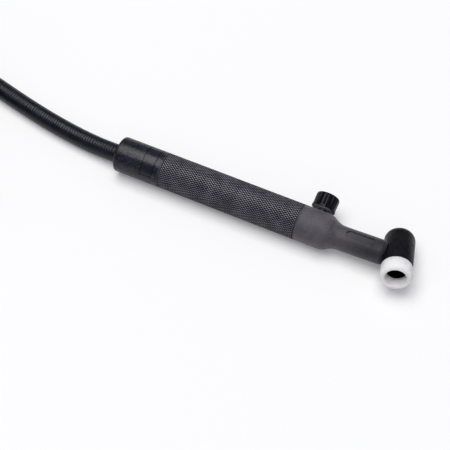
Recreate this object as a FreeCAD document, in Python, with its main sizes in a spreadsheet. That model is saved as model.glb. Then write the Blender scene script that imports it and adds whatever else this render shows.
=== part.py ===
import FreeCAD, Part
import math
import os
import Sketcher

# Gas-cooled welding torch with a valve in its neck. While it is built, X runs along the handle to
# the head with X = 0 at the handle's front end, and Z = 0 is the handle's axis. The torch lies on
# a table with its neck bent up, so that the head's back edge just clears the table. At the end all
# pieces move together, so that the origin is under the middle of the torch, on the table.

vec = FreeCAD.Vector
doc = FreeCAD.newDocument("tig_torch")
sheet = doc.addObject("Spreadsheet::Sheet", "sizes")


class Size:
    """A size that knows its number and the words that bind it to the sheet."""

    def __init__(self, number, words):
        self.number = number
        self.words = words

    def joined(self, other, sign, number):
        return Size(number, "(" + self.words + " " + sign + " " + words_of(other) + ")")

    def __add__(self, other):
        return self.joined(other, "+", self.number + number_of(other))

    def __sub__(self, other):
        return self.joined(other, "-", self.number - number_of(other))

    def __mul__(self, other):
        return self.joined(other, "*", self.number * number_of(other))

    def __truediv__(self, other):
        return self.joined(other, "/", self.number / number_of(other))


def number_of(value):
    return value.number if isinstance(value, Size) else float(value)


def words_of(value):
    return value.words if isinstance(value, Size) else repr(float(value))


class Sizes:
    """The driving sizes: each one is a cell of the sheet and an attribute here."""

    def __init__(self):
        self.row = 0

    def heading(self, words):
        self.row += 1
        sheet.set("A%d" % self.row, words)

    def add(self, alias, number):
        self.row += 1
        sheet.set("A%d" % self.row, alias.replace("_", " "))
        sheet.set("B%d" % self.row, str(number))
        sheet.setAlias("B%d" % self.row, alias)
        setattr(self, alias, Size(float(number), "sizes." + alias))


size = Sizes()

size.heading("handle and rear collar")
size.add("handle_length", 110.0)
size.add("handle_outer", 13.5)
size.add("handle_wall", 2.5)
size.add("handle_edge", 0.6)
size.add("lap_length", 12.0)
size.add("collar_wall", 1.3)
size.add("collar_length", 35.0)
size.add("collar_round", 2.2)
size.add("tape_width", 10.0)
size.add("tape_start", 21.1)
size.add("tape_depth", 0.3)
size.add("tape_turn", 290.0)
size.add("tape_end", 75.0)
size.add("tape_play", 0.25)
size.add("slip_gap", 0.05)
size.handle_bore = size.handle_outer - size.handle_wall
size.lap_radius = size.handle_outer - size.collar_wall

size.heading("front sleeve")
size.add("sleeve_step", 0.2)
size.add("sleeve_land", 17.5)
size.add("sleeve_slope", 14.5)
size.add("sleeve_neck", 9.05)
size.add("sleeve_wall", 2.45)
size.add("sleeve_spigot", 12.0)
size.add("spigot_wall", 1.75)
size.add("sleeve_round", 1.5)
size.add("neck_bend", 3.15)
size.add("bend_start", 2.0)
size.add("bend_reach", 1.5)
size.add("recess_start", 2.3)
size.add("recess_margin", 7.5)
size.add("recess_width", 7.0)
size.add("recess_depth", 0.7)
size.sleeve_outer = size.handle_outer - size.sleeve_step
size.spigot_outer = size.handle_bore - size.slip_gap
size.sleeve_cavity = size.spigot_outer - size.spigot_wall
size.sleeve_bore = size.sleeve_neck - size.sleeve_wall
size.bend_x = size.sleeve_land + size.sleeve_slope + size.bend_start

size.heading("head")
size.add("head_reach", 40.85)
size.add("sleeve_stop", 9.35)
size.add("head_angle", 76.5)
size.add("head_roll", 15.7)
size.add("head_outer", 11.25)
size.add("head_back", 19.6)
size.add("head_front", 11.0)
size.add("head_round", 1.2)
size.add("head_gap", 0.3)
size.add("cup_bore", 7.5)
size.add("ring_wall", 1.8)
size.add("ring_flare", 1.13)
size.add("ring_lap", 2.2)
size.add("ring_length", 10.4)
size.add("ring_round", 2.4)
size.add("core_radius", 7.15)
size.add("core_seat", 3.0)
size.add("core_front", 5.5)
size.add("cap_thread", 5.6)
size.add("cap_depth", 9.5)
size.add("collet_thread", 4.8)
size.add("collet_depth", 9.5)
size.add("core_waist", 3.6)
size.add("core_skin", 0.6)
size.add("stub_lap", 23.5)
size.sleeve_reach = size.head_reach - size.sleeve_stop
size.core_back = size.head_back - size.core_seat
size.ring_seat = size.cup_bore + size.ring_wall
size.ring_mouth = size.cup_bore + size.ring_flare

size.heading("gas and current tubes")
size.add("tube_outer", 4.75)
size.add("tube_bore", 3.25)
size.add("braze_gap", 0.05)
size.add("gas_bore", 1.6)
size.add("tail_length", 62.0)
size.add("tube_bend_reach", 6.0)
size.add("brazed_wall", 1.0)
size.add("brazed_reach", 11.0)
size.brazed_bore = size.tube_outer + size.braze_gap

size.heading("gas valve")
size.add("valve_x", 11.5)
size.add("valve_roll", 14.3)
size.add("block_radius", 8.4)
size.add("block_back", 8.5)
size.add("block_front", 9.5)
size.add("socket_depth", 6.0)
size.add("tail_wall", 1.7)
size.add("tail_boss_length", 8.0)
size.add("boss_radius", 5.4)
size.add("boss_top", 11.8)
size.add("hole_gap", 0.8)
size.add("running_gap", 0.06)
size.add("stem_radius", 2.0)
size.add("piston_step", 0.55)
size.add("piston_gap", 0.07)
size.add("piston_base", 1.0)
size.add("piston_top", 5.0)
size.add("groove_lead", 1.3)
size.add("ring_wire", 0.48)
size.add("chamber_floor", 1.0)
size.add("gland_wall", 1.23)
size.add("gland_depth", 4.8)
size.add("gland_flange", 1.8)
size.add("gland_chamfer", 0.3)
size.add("seat_hole", 0.9)
size.add("front_way", 0.8)
size.add("rear_way", 1.3)
size.add("needle_tip", 2.6)
size.tail_boss = size.brazed_bore + size.tail_wall
size.sleeve_hole = size.boss_radius + size.hole_gap
size.piston_radius = size.stem_radius + size.piston_step
size.chamber_radius = size.piston_radius + size.piston_gap
size.gland_thread = size.chamber_radius + size.gland_wall

size.heading("valve knob")
size.add("knob_lift", 1.75)
size.add("knob_height", 10.8)
size.add("stem_reach", 8.45)
size.add("knob_base_radius", 8.95)
size.add("knob_top_radius", 8.15)
size.add("knob_lip", 1.0)
size.add("knob_wall", 1.5)
size.add("knob_hollow", 2.2)
size.add("knob_hub", 4.4)
size.add("knob_flutes", 12)
size.add("flute_radius", 1.1)
size.add("screw_radius", 1.25)
size.add("screw_head", 2.6)
size.add("screw_length", 7.0)
size.add("knob_skirt", 0.25)
size.knob_base = size.boss_top + size.gland_flange + size.knob_lift
size.stem_top = size.knob_base + size.stem_reach

size.heading("hose connections")
size.add("male_wall", 1.1)
size.add("male_length", 12.0)
size.add("male_step", 1.5)
size.add("shoulder_length", 4.0)
size.add("nut_flats", 17.0)
size.add("nut_length", 17.0)
size.add("nut_lip", 3.0)
size.add("nut_gap", 1.0)
size.add("hose_stem", 4.1)
size.add("seat_gap", 0.3)
size.add("seat_length", 2.8)
size.add("ferrule_radius", 8.2)
size.add("ferrule_length", 26.0)
size.add("crimp_depth", 0.6)
size.add("supply_thread", 7.3)
size.add("supply_length", 8.0)
size.add("supply_flats", 22.0)
size.add("supply_nut", 19.0)
size.male_thread = size.brazed_bore + size.male_wall
size.male_shoulder = size.male_thread + size.male_step
size.hose_seat = size.male_thread - size.seat_gap

size.heading("cable and its hank")
size.add("cable_radius", 7.15)
size.add("hank_fold", 43.2)
size.add("hank_run", 59.0)
size.add("hank_step", 12.0)
size.add("hank_lead", 10.0)
size.add("hank_layers", 4)
size.add("lane_gap", 0.6)
size.add("layer_gap", 0.8)
size.add("tail_lead", 22.0)
size.add("tail_fall", 38.0)
size.add("tail_turn", 4.0)
size.add("tie_wall", 1.2)
size.add("tie_width", 20.0)
size.add("tie_gap", 0.2)
size.lane_pitch = size.cable_radius * 2 + size.lane_gap
size.layer_pitch = size.cable_radius * 2 + size.layer_gap
size.hank_lift = size.tie_wall + size.tie_gap


def expression(target, prop, value):
    """Bind one property to the sheet."""
    target.setExpression(prop, words_of(value))


def origin_plane(body, role):
    return [feature for feature in body.Origin.OriginFeatures if feature.Role == role][0]


def sketch_in(body, role, name):
    sketch = body.newObject("Sketcher::SketchObject", name)
    sketch.AttachmentSupport = [(origin_plane(body, role), "")]
    sketch.MapMode = "FlatFace"
    return sketch


def arc_between(start, end, radius, left):
    """Short arc from start to end that turns left or right."""
    chord = end - start
    side = vec(-chord.y, chord.x, 0).normalize() * (1 if left else -1)
    reach = math.sqrt(radius ** 2 - (chord.Length / 2) ** 2)
    centre = (start + end) / 2 + side * reach
    first, last = (start, end) if left else (end, start)
    angles = [math.atan2(point.y - centre.y, point.x - centre.x) for point in (first, last)]
    circle = Part.Circle(centre, vec(0, 0, 1), radius)
    return Part.ArcOfCircle(circle, angles[0], angles[1])


def outline(sketch, corners, arcs=None):
    """Closed outline whose corners are bound to the sheet. arcs maps a corner's number to the
    radius and the turn (left or right) of the stretch that leaves it."""
    arcs = arcs or {}
    points = [vec(number_of(across), number_of(up), 0) for across, up in corners]
    count = len(points)
    begins = []
    ends = []
    for index, start in enumerate(points):
        end = points[(index + 1) % count]
        if index in arcs:
            radius, turn = arcs[index]
            left = turn == "left"
            edge = sketch.addGeometry(arc_between(start, end, number_of(radius), left), False)
            constraint = sketch.addConstraint(Sketcher.Constraint("Radius", edge, number_of(radius)))
            if isinstance(radius, Size):
                expression(sketch, "Constraints[%d]" % constraint, radius)
            begins.append((edge, 1 if left else 2))
            ends.append((edge, 2 if left else 1))
        else:
            edge = sketch.addGeometry(Part.LineSegment(start, end), False)
            begins.append((edge, 1))
            ends.append((edge, 2))
    for index in range(count):
        edge, place = begins[index]
        sketch.addConstraint(Sketcher.Constraint("Coincident", *ends[index - 1], edge, place))
        for kind, value, axis in zip(("DistanceX", "DistanceY"), corners[index], (-2, -1)):
            number = number_of(value)
            if number == 0:
                sketch.addConstraint(Sketcher.Constraint("PointOnObject", edge, place, axis))
                continue
            constraint = sketch.addConstraint(Sketcher.Constraint(kind, -1, 1, edge, place, number))
            if isinstance(value, Size):
                expression(sketch, "Constraints[%d]" % constraint, value)


def revolved(label, corners, arcs=None, place=None):
    """Turned piece: its outline is given as (distance along X, radius)."""
    body = doc.addObject("PartDesign::Body", label)
    sketch = sketch_in(body, "XZ_Plane", label + "_outline")
    outline(sketch, corners, arcs)
    turn = body.newObject("PartDesign::Revolution", label + "_turn")
    turn.Profile = sketch
    turn.ReferenceAxis = (sketch, ["H_Axis"])
    turn.Angle = 360.0
    sketch.Visibility = False
    if place:
        body.Placement = place
    return body


def cylinder(label, radius, length, place):
    """Round bar along its own X, for drilling and joining."""
    bar = doc.addObject("Part::Cylinder", label)
    expression(bar, "Radius", radius)
    expression(bar, "Height", length)
    lay_down = FreeCAD.Placement(vec(0, 0, 0), FreeCAD.Rotation(vec(0, 0, 1), vec(1, 0, 0)))
    bar.Placement = place.multiply(lay_down)
    return bar


def joined(label, pieces):
    fuse = doc.addObject("Part::MultiFuse", label)
    fuse.Shapes = pieces
    return fuse


def cut(label, base, tools):
    tool = tools[0] if len(tools) == 1 else joined(label + "_tools", tools)
    result = doc.addObject("Part::Cut", label)
    result.Base = base
    result.Tool = tool
    return result


def along(x, y=0.0, z=0.0):
    """Place on the handle's axis, or beside it, with the piece along X."""
    return FreeCAD.Placement(vec(number_of(x), number_of(y), number_of(z)), FreeCAD.Rotation())


def pointing(base, direction):
    return FreeCAD.Placement(base, FreeCAD.Rotation(vec(1, 0, 0), direction))


# The neck bends up a little. The head's axis leans forward and is rolled up from the table, and the
# valve's axis is square to the handle.
bend = math.radians(size.neck_bend.number)
lean = math.radians(size.head_angle.number)
head_lift = math.radians(size.head_roll.number)
valve_lift = math.radians(size.valve_roll.number)
neck_way = vec(math.cos(bend), 0, math.sin(bend))
head_way = vec(
    math.cos(lean),
    -math.sin(lean) * math.cos(head_lift),
    math.sin(lean) * math.sin(head_lift),
)
valve_way = vec(0, math.cos(valve_lift), math.sin(valve_lift))
neck_lean = neck_way.getAngle(head_way)
bend_point = vec(size.bend_x.number, 0, 0)
head_middle = bend_point + neck_way * size.head_reach.number
valve_middle = vec(size.valve_x.number, 0, 0)


def on_neck(distance):
    """Place on the neck's axis, this far in front of its bend."""
    return pointing(bend_point + neck_way * number_of(distance), neck_way)


def on_head(distance):
    """Place on the head's axis, this far in front of the neck's axis."""
    return pointing(head_middle + head_way * number_of(distance), head_way)


def on_valve(distance):
    """Place on the valve's axis, this far out from the handle's axis."""
    return pointing(valve_middle + valve_way * number_of(distance), valve_way)


parts = []


def keep(piece):
    parts.append(piece)
    return piece


def make_handle():
    """Knurled tube; its rear end steps down where the collar laps over it."""
    s = size
    total = s.handle_length + s.lap_length
    corners = [
        (0, s.handle_bore),
        (total, s.handle_bore),
        (total, s.handle_outer - s.handle_edge),
        (total - s.handle_edge, s.handle_outer),
        (s.lap_length + s.handle_edge, s.handle_outer),
        (s.lap_length, s.handle_outer - s.handle_edge),
        (s.lap_length, s.lap_radius),
        (0, s.lap_radius),
    ]
    keep(revolved("handle", corners, place=along(-total.number)))


def turned_part(label, corners, place, degrees, end_angle):
    """Turned piece that goes only part of the way round. Its end lies end_angle from straight up,
    on the side of -Y."""
    body = revolved(label, corners, place=place)
    expression(body.Tip, "Angle", degrees)
    spin = FreeCAD.Rotation(vec(1, 0, 0), number_of(end_angle) - number_of(degrees))
    body.Placement = place.multiply(FreeCAD.Placement(vec(0, 0, 0), spin))
    return body


def make_collar():
    """Smooth rear collar with a rounded end, and a band of tape in its shallow seat. The tape stops
    short of a full turn."""
    s = size
    lap_start = s.collar_length - s.lap_length
    start = -s.handle_length.number - s.collar_length.number
    corners = [
        (0, s.handle_bore),
        (lap_start, s.handle_bore),
        (lap_start, s.lap_radius + s.slip_gap),
        (s.collar_length, s.lap_radius + s.slip_gap),
        (s.collar_length, s.handle_outer),
        (s.collar_round, s.handle_outer),
        (0, s.handle_outer - s.collar_round),
    ]
    blank = revolved("collar_blank", corners, {5: (s.collar_round, "left")}, along(start))
    seat = s.handle_outer - s.tape_depth
    place = along(start + s.tape_start.number)
    above = s.handle_outer + s.tape_depth
    groove = [(0, seat), (s.tape_width, seat), (s.tape_width, above), (0, above)]
    seat_cut = turned_part("tape_seat", groove, place, s.tape_turn, s.tape_end)
    keep(cut("rear_collar", blank, [seat_cut]))
    inner = seat + s.slip_gap
    band = [
        (s.slip_gap, inner),
        (s.tape_width - s.slip_gap, inner),
        (s.tape_width - s.slip_gap, s.handle_outer),
        (s.slip_gap, s.handle_outer),
    ]
    turn = s.tape_turn - s.tape_play * 2
    keep(turned_part("seam_tape", band, place, turn, s.tape_end - s.tape_play))


def swept(label, edges, radius):
    """Round solid along joined edges."""
    path = Part.Wire(edges)
    way = edges[0].tangentAt(edges[0].FirstParameter)
    section = Part.Wire([Part.Circle(path.Vertexes[0].Point, way, radius).toShape()])
    pipe = Part.BRepOffsetAPI.MakePipeShell(path)
    pipe.add(section)
    pipe.build()
    pipe.makeSolid()
    piece = doc.addObject("Part::Feature", label)
    piece.Shape = pipe.shape()
    return piece


def bent_line(back, reach, ahead):
    """Path round the neck's bend: it starts this far behind it, turns within reach of it, and
    ends this far in front of it."""
    first = bend_point - vec(number_of(back), 0, 0)
    begin = bend_point - vec(number_of(reach), 0, 0)
    end = bend_point + neck_way * number_of(reach)
    to_middle = vec(-math.sin(bend / 2), 0, math.cos(bend / 2))
    radius = number_of(reach) / math.tan(bend / 2)
    middle = bend_point + to_middle * (radius / math.cos(bend / 2) - radius)
    return [
        Part.LineSegment(first, begin).toShape(),
        Part.Arc(begin, middle, end).toShape(),
        Part.LineSegment(end, bend_point + neck_way * number_of(ahead)).toShape(),
    ]


def make_recess():
    """Long pocket with round ends, for the top of the sleeve's neck."""
    s = size
    recess = doc.addObject("PartDesign::Body", "sleeve_recess")
    sketch = sketch_in(recess, "XY_Plane", "recess_outline")
    end = s.recess_width / 2
    far = s.sleeve_reach - s.recess_margin - s.recess_start - end
    flat = vec(0, 0, 1)
    quarter = math.pi / 2
    round_end = Part.Circle(vec(far.number, 0, 0), flat, end.number)
    right = sketch.addGeometry(Part.ArcOfCircle(round_end, -quarter, quarter))
    round_end = Part.Circle(vec(end.number, 0, 0), flat, end.number)
    left = sketch.addGeometry(Part.ArcOfCircle(round_end, quarter, 3 * quarter))
    corners = [vec(x, y, 0) for x, y in (
        (far.number, end.number),
        (end.number, end.number),
        (end.number, -end.number),
        (far.number, -end.number),
    )]
    top = sketch.addGeometry(Part.LineSegment(corners[0], corners[1]))
    foot = sketch.addGeometry(Part.LineSegment(corners[2], corners[3]))
    for first, second in (
        ((right, 2), (top, 1)),
        ((top, 2), (left, 1)),
        ((left, 2), (foot, 1)),
        ((foot, 2), (right, 1)),
    ):
        sketch.addConstraint(Sketcher.Constraint("Tangent", *first, *second))
    for arc, reach in ((left, end), (right, far)):
        sketch.addConstraint(Sketcher.Constraint("PointOnObject", arc, 3, -1))
        constraint = sketch.addConstraint(Sketcher.Constraint("DistanceX", -1, 1, arc, 3, reach.number))
        expression(sketch, "Constraints[%d]" % constraint, reach)
    constraint = sketch.addConstraint(Sketcher.Constraint("Radius", left, end.number))
    expression(sketch, "Constraints[%d]" % constraint, end)
    pad = recess.newObject("PartDesign::Pad", "recess_pad")
    pad.Profile = sketch
    expression(pad, "Length", s.recess_depth * 3)
    lift = vec(0, 0, s.sleeve_neck.number - s.recess_depth.number)
    recess.Placement = on_neck(s.recess_start).multiply(FreeCAD.Placement(lift, FreeCAD.Rotation()))
    return recess


def make_sleeve():
    """Front sleeve: plugs into the handle, necks down in an S curve, follows the neck's bend and
    ends in a saddle round the head. It has a hole for the valve and a recess on its neck."""
    s = size
    start = s.sleeve_spigot
    land = start + s.sleeve_land
    neck = land + s.sleeve_slope
    middle = (s.sleeve_outer + s.sleeve_neck) / 2
    drop = s.sleeve_outer - s.sleeve_neck
    curve = (s.sleeve_slope * s.sleeve_slope + drop * drop) / (drop * 4)
    rear = [
        (0, s.sleeve_cavity),
        (land, s.sleeve_cavity),
        (neck, s.sleeve_bore),
        (neck, s.sleeve_neck),
        (land + s.sleeve_slope / 2, middle),
        (land, s.sleeve_outer),
        (start, s.sleeve_outer),
        (start, s.spigot_outer),
        (0, s.spigot_outer),
    ]
    arcs = {3: (curve, "right"), 4: (curve, "left")}
    shoulder = revolved("sleeve_shoulder", rear, arcs, along(-start.number))
    tip = s.sleeve_round * 2
    bent = bent_line(s.bend_start, s.bend_reach, s.sleeve_reach - tip)
    wall = swept("sleeve_neck_wall", bent, s.sleeve_neck.number)
    hollow = swept("sleeve_neck_bore", bent, s.sleeve_bore.number)
    front = [
        (0, s.sleeve_bore),
        (tip, s.sleeve_bore),
        (tip, s.sleeve_neck - s.sleeve_round),
        (tip - s.sleeve_round, s.sleeve_neck),
        (0, s.sleeve_neck),
    ]
    arcs = {2: (s.sleeve_round, "left")}
    end = revolved("sleeve_end", front, arcs, on_neck(s.sleeve_reach - tip))
    blank = joined("sleeve_blank", [shoulder, cut("sleeve_neck_tube", wall, [hollow]), end])
    reach = s.head_back * 2
    saddle = cylinder("sleeve_saddle", s.head_outer + s.head_gap, reach, on_head(-s.head_back.number))
    hole = cylinder("sleeve_valve_hole", s.sleeve_hole, s.sleeve_outer, on_valve(s.sleeve_cavity / 2))
    keep(cut("front_sleeve", blank, [saddle, hole, make_recess()]))


def make_head():
    """Brass core, moulded cover and the white insulating ring at its front."""
    s = size
    core_length = s.core_back + s.core_front
    boss_start = s.head_reach - s.brazed_reach
    boss_radius = s.brazed_bore + s.brazed_wall
    round_core = cylinder("core_round", s.core_radius, core_length, on_head(-s.core_back.number))
    boss = cylinder("core_boss", boss_radius, s.brazed_reach - s.collet_thread, on_neck(boss_start))
    blank = joined("core_blank", [round_core, boss])
    threads = revolved(
        "core_threads",
        [
            (0, 0),
            (core_length, 0),
            (core_length, s.collet_thread),
            (core_length - s.collet_depth, s.collet_thread),
            (core_length - s.collet_depth, s.core_waist),
            (s.cap_depth, s.core_waist),
            (s.cap_depth, s.cap_thread),
            (0, s.cap_thread),
        ],
        place=on_head(-s.core_back.number),
    )
    skin = (s.collet_thread + s.core_skin).number / math.sin(neck_lean)
    corner = s.brazed_bore.number / math.tan(neck_lean)
    socket_end = s.head_reach.number - skin - corner
    socket_start = on_neck(socket_end - s.brazed_reach.number)
    socket = cylinder("core_socket", s.brazed_bore, s.brazed_reach, socket_start)
    gas_way = cylinder("core_gas_way", s.gas_bore, s.core_radius, on_neck(socket_end - s.core_skin.number))
    keep(cut("head_core", blank, [threads, socket, gas_way]))

    front = s.head_back + s.head_front
    shell = revolved(
        "cover_shell",
        [
            (0, 0),
            (front + s.ring_lap, 0),
            (front + s.ring_lap, s.ring_seat),
            (front, s.ring_seat),
            (front, s.head_outer),
            (s.head_round, s.head_outer),
            (0, s.head_outer - s.head_round),
        ],
        {5: (s.head_round, "left")},
        on_head(-s.head_back.number),
    )
    stub_start = s.sleeve_reach - s.stub_lap
    stub_radius = s.sleeve_bore - s.slip_gap
    stub = cylinder("cover_stub", stub_radius, s.head_reach - stub_start, on_neck(stub_start))
    whole = joined("cover_whole", [shell, stub])
    core_start = s.head_back - s.core_back
    core_end = s.head_back + s.core_front
    core_bore = s.core_radius + s.braze_gap
    bore = revolved(
        "cover_bore",
        [
            (0, 0),
            (front + s.ring_lap, 0),
            (front + s.ring_lap, s.cup_bore),
            (core_end, s.cup_bore),
            (core_end, core_bore),
            (core_start, core_bore),
            (core_start, s.cup_bore),
            (0, s.cup_bore),
        ],
        place=on_head(-s.head_back.number),
    )
    tube_way = cylinder("cover_tube_way", s.brazed_bore, s.head_reach, on_neck(stub_start - s.slip_gap * 2))
    boss_bore = boss_radius + s.braze_gap
    boss_way = cylinder("cover_boss_way", boss_bore, s.brazed_reach, on_neck(boss_start - s.braze_gap))
    keep(cut("head_cover", whole, [bore, tube_way, boss_way]))

    rim = (s.head_outer + s.ring_mouth) / 2
    keep(
        revolved(
            "cup_gasket",
            [
                (0, s.ring_seat + s.slip_gap),
                (s.ring_lap, s.ring_seat + s.slip_gap),
                (s.ring_lap, s.cup_bore),
                (s.ring_length, s.ring_mouth),
                (s.ring_length, rim - (s.head_outer - s.ring_mouth) / 4),
                (s.ring_length - s.ring_round, s.head_outer),
                (0, s.head_outer),
            ],
            {4: (s.ring_round * 1.1, "left")},
            on_head(s.head_front.number),
        )
    )
    return socket_end


def make_tubes(socket_end):
    """Copper tubes brazed into the valve block: a bent one to the head, a straight one back."""
    s = size
    front_start = s.valve_x + s.block_front - s.socket_depth + s.braze_gap
    bent = bent_line(s.bend_x - front_start, s.tube_bend_reach, socket_end - s.braze_gap.number)
    outside = swept("neck_tube_outside", bent, s.tube_outer.number)
    inside = swept("neck_tube_inside", bent, s.tube_bore.number)
    keep(cut("neck_tube", outside, [inside]))
    tail_front = s.valve_x - s.block_back - s.tail_boss_length + s.socket_depth - s.braze_gap
    tail_end = tail_front - s.tail_length
    length = s.tail_length
    corners = [(0, s.tube_bore), (length, s.tube_bore), (length, s.tube_outer), (0, s.tube_outer)]
    keep(revolved("tail_tube", corners, place=along(tail_end)))
    return tail_end


def make_valve():
    """Brass block with an offset gas way, closed by a needle on the stem."""
    s = size
    block_start = s.valve_x - s.block_back
    boss_start = block_start - s.tail_boss_length
    block = cylinder("block_round", s.block_radius, s.block_back + s.block_front, along(block_start))
    boss = cylinder("block_boss", s.boss_radius, s.boss_top, on_valve(0))
    rear = cylinder("block_rear", s.tail_boss, s.tail_boss_length + s.tail_wall, along(boss_start))
    whole = joined("block_whole", [block, boss, rear])
    gland_floor = s.boss_top - s.gland_depth
    rear_floor = boss_start + s.socket_depth
    front_floor = s.valve_x + s.block_front - s.socket_depth
    below = valve_way * -s.needle_tip.number
    beside = vec(rear_floor.number, 0, 0) + valve_way * (s.piston_base.number / 2)
    seat_start = s.needle_tip + s.seat_hole / 2
    tools = [
        cylinder("block_chamber", s.chamber_radius, s.boss_top, on_valve(-s.chamber_floor.number)),
        cylinder("block_gland_hole", s.gland_thread + s.slip_gap, s.boss_top, on_valve(gland_floor)),
        cylinder("block_seat", s.seat_hole, s.needle_tip, on_valve(-seat_start.number)),
        cylinder("block_front_way", s.front_way, s.block_front, along(s.valve_x, below.y, below.z)),
        cylinder("block_front_socket", s.brazed_bore, s.block_front, along(front_floor)),
        cylinder("block_rear_socket", s.brazed_bore, s.socket_depth, along(rear_floor - s.socket_depth)),
        cylinder("block_rear_way", s.rear_way, s.valve_x - rear_floor, along(beside.x, beside.y, beside.z)),
    ]
    keep(cut("valve_block", whole, tools))

    flange = s.gland_depth + s.gland_flange
    keep(
        revolved(
            "valve_gland",
            [
                (0, s.stem_radius + s.running_gap),
                (flange, s.stem_radius + s.running_gap),
                (flange, s.boss_radius - s.gland_chamfer),
                (flange - s.gland_chamfer, s.boss_radius),
                (s.gland_depth, s.boss_radius),
                (s.gland_depth, s.gland_thread),
                (0, s.gland_thread),
            ],
            place=on_valve(gland_floor),
        )
    )

    tip = s.needle_tip
    needle_point = s.seat_hole / 2
    needle_seat = s.seat_hole - s.running_gap
    base = tip + s.piston_base
    needle_root = needle_point + (needle_seat - needle_point) * base / (tip - s.chamber_floor)
    groove = base + s.groove_lead
    groove_end = groove + s.ring_wire * 3
    groove_floor = s.piston_radius - s.ring_wire * 2 - s.running_gap
    bore_floor = tip + s.stem_top - s.screw_length
    keep(
        revolved(
            "valve_stem",
            [
                (0, 0),
                (0, needle_point),
                (base, needle_root),
                (base, s.piston_radius),
                (groove, s.piston_radius),
                (groove, groove_floor),
                (groove_end, groove_floor),
                (groove_end, s.piston_radius),
                (tip + s.piston_top, s.piston_radius),
                (tip + s.piston_top, s.stem_radius),
                (tip + s.stem_top, s.stem_radius),
                (tip + s.stem_top, s.screw_radius + s.braze_gap),
                (bore_floor, s.screw_radius + s.braze_gap),
                (bore_floor, 0),
            ],
            place=on_valve(-tip.number),
        )
    )

    seal = doc.addObject("Part::Torus", "stem_o_ring")
    expression(seal, "Radius1", s.piston_radius - s.ring_wire)
    expression(seal, "Radius2", s.ring_wire)
    seal_place = s.piston_base + s.groove_lead + s.ring_wire * 1.5
    seal.Placement = on_valve(seal_place).multiply(
        FreeCAD.Placement(vec(0, 0, 0), FreeCAD.Rotation(vec(0, 0, 1), vec(1, 0, 0)))
    )
    keep(seal)


def make_knob():
    """Fluted plastic knob on the stem, hollow underneath, held by a screw in its top."""
    s = size
    top = s.knob_height
    screw_seat = s.stem_top - s.knob_base + s.slip_gap
    inner = s.knob_base_radius - s.knob_wall
    head_space = s.screw_head + s.slip_gap * 2
    body = revolved(
        "valve_knob",
        [
            (0, s.stem_radius + s.braze_gap),
            (screw_seat, s.stem_radius + s.braze_gap),
            (screw_seat, head_space),
            (top, head_space),
            (top, s.knob_top_radius - s.knob_lip),
            (top - s.knob_lip, s.knob_top_radius),
            (s.knob_lip, s.knob_base_radius - s.knob_skirt),
            (s.knob_lip, s.knob_base_radius),
            (0, s.knob_base_radius),
            (0, inner),
            (s.knob_hollow, inner),
            (s.knob_hollow, s.knob_hub),
            (0, s.knob_hub),
        ],
        {4: (s.knob_lip, "right")},
    )
    doc.recompute()
    plain = body.Shape.Volume
    sketch = sketch_in(body, "YZ_Plane", "flute_outline")
    circle = sketch.addGeometry(
        Part.Circle(vec(s.knob_base_radius.number, 0, 0), vec(0, 0, 1), s.flute_radius.number)
    )
    constraint = sketch.addConstraint(Sketcher.Constraint("Radius", circle, s.flute_radius.number))
    expression(sketch, "Constraints[%d]" % constraint, s.flute_radius)
    constraint = sketch.addConstraint(
        Sketcher.Constraint("DistanceX", -1, 1, circle, 3, s.knob_base_radius.number)
    )
    expression(sketch, "Constraints[%d]" % constraint, s.knob_base_radius + s.flute_radius / 3)
    sketch.addConstraint(Sketcher.Constraint("PointOnObject", circle, 3, -1))
    expression(sketch, ".AttachmentOffset.Base.z", s.knob_lip)
    flute = body.newObject("PartDesign::Pocket", "knob_flute")
    flute.Profile = sketch
    flute.Reversed = False
    flute.Type = "Length"
    expression(flute, "Length", s.knob_height)
    pattern = body.newObject("PartDesign::PolarPattern", "knob_flutes")
    pattern.Originals = [flute]
    pattern.Axis = (origin_plane(body, "X_Axis"), [""])
    pattern.Angle = 360
    expression(pattern, "Occurrences", s.knob_flutes)
    body.Tip = pattern
    doc.recompute()
    if body.Shape.Volume > plain - 1:
        raise ValueError("the knob's flutes cut nothing")
    body.Placement = on_valve(s.knob_base)
    keep(body)

    head = top - screw_seat - s.knob_lip / 2
    keep(
        revolved(
            "knob_screw",
            [
                (0, 0),
                (s.screw_length - s.knob_lip, 0),
                (s.screw_length - s.knob_lip + head, 0),
                (s.screw_length - s.knob_lip + head, s.screw_head),
                (s.screw_length - s.knob_lip, s.screw_head),
                (s.screw_length - s.knob_lip, s.screw_radius),
                (0, s.screw_radius),
            ],
            place=on_valve(s.stem_top - s.screw_length + s.knob_lip + s.slip_gap),
        )
    )


def hex_nut(label, flats, length, thread, stem, place, relief=None):
    """Union nut: six flats, a lip behind a collar on the stem, and a threaded mouth. With a
    relief, the thread starts that far in and the bore behind it is a little wider."""
    s = size
    lip_bore = stem + s.running_gap
    across = flats / 2
    corners = [(0, lip_bore), (s.nut_lip, lip_bore)]
    if relief:
        wide = thread + s.slip_gap * 4
        corners += [(s.nut_lip, wide), (relief, wide), (relief, thread), (length, thread)]
    else:
        corners += [(s.nut_lip, thread + s.slip_gap), (length, thread + s.slip_gap)]
    point = flats / math.sqrt(3)
    corners += [
        (length, across),
        (length - s.nut_gap, point),
        (s.nut_gap, point),
        (0, across),
    ]
    blank = revolved(label + "_blank", corners, place=place)
    bar = doc.addObject("Part::Prism", label + "_bar")
    bar.Polygon = 6
    expression(bar, "Circumradius", point)
    expression(bar, "Height", length)
    bar.Placement = place.multiply(
        FreeCAD.Placement(vec(0, 0, 0), FreeCAD.Rotation(vec(0, 0, 1), vec(1, 0, 0)))
    )
    nut = doc.addObject("Part::Common", label)
    nut.Base = blank
    nut.Tool = bar
    return keep(nut)


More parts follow.
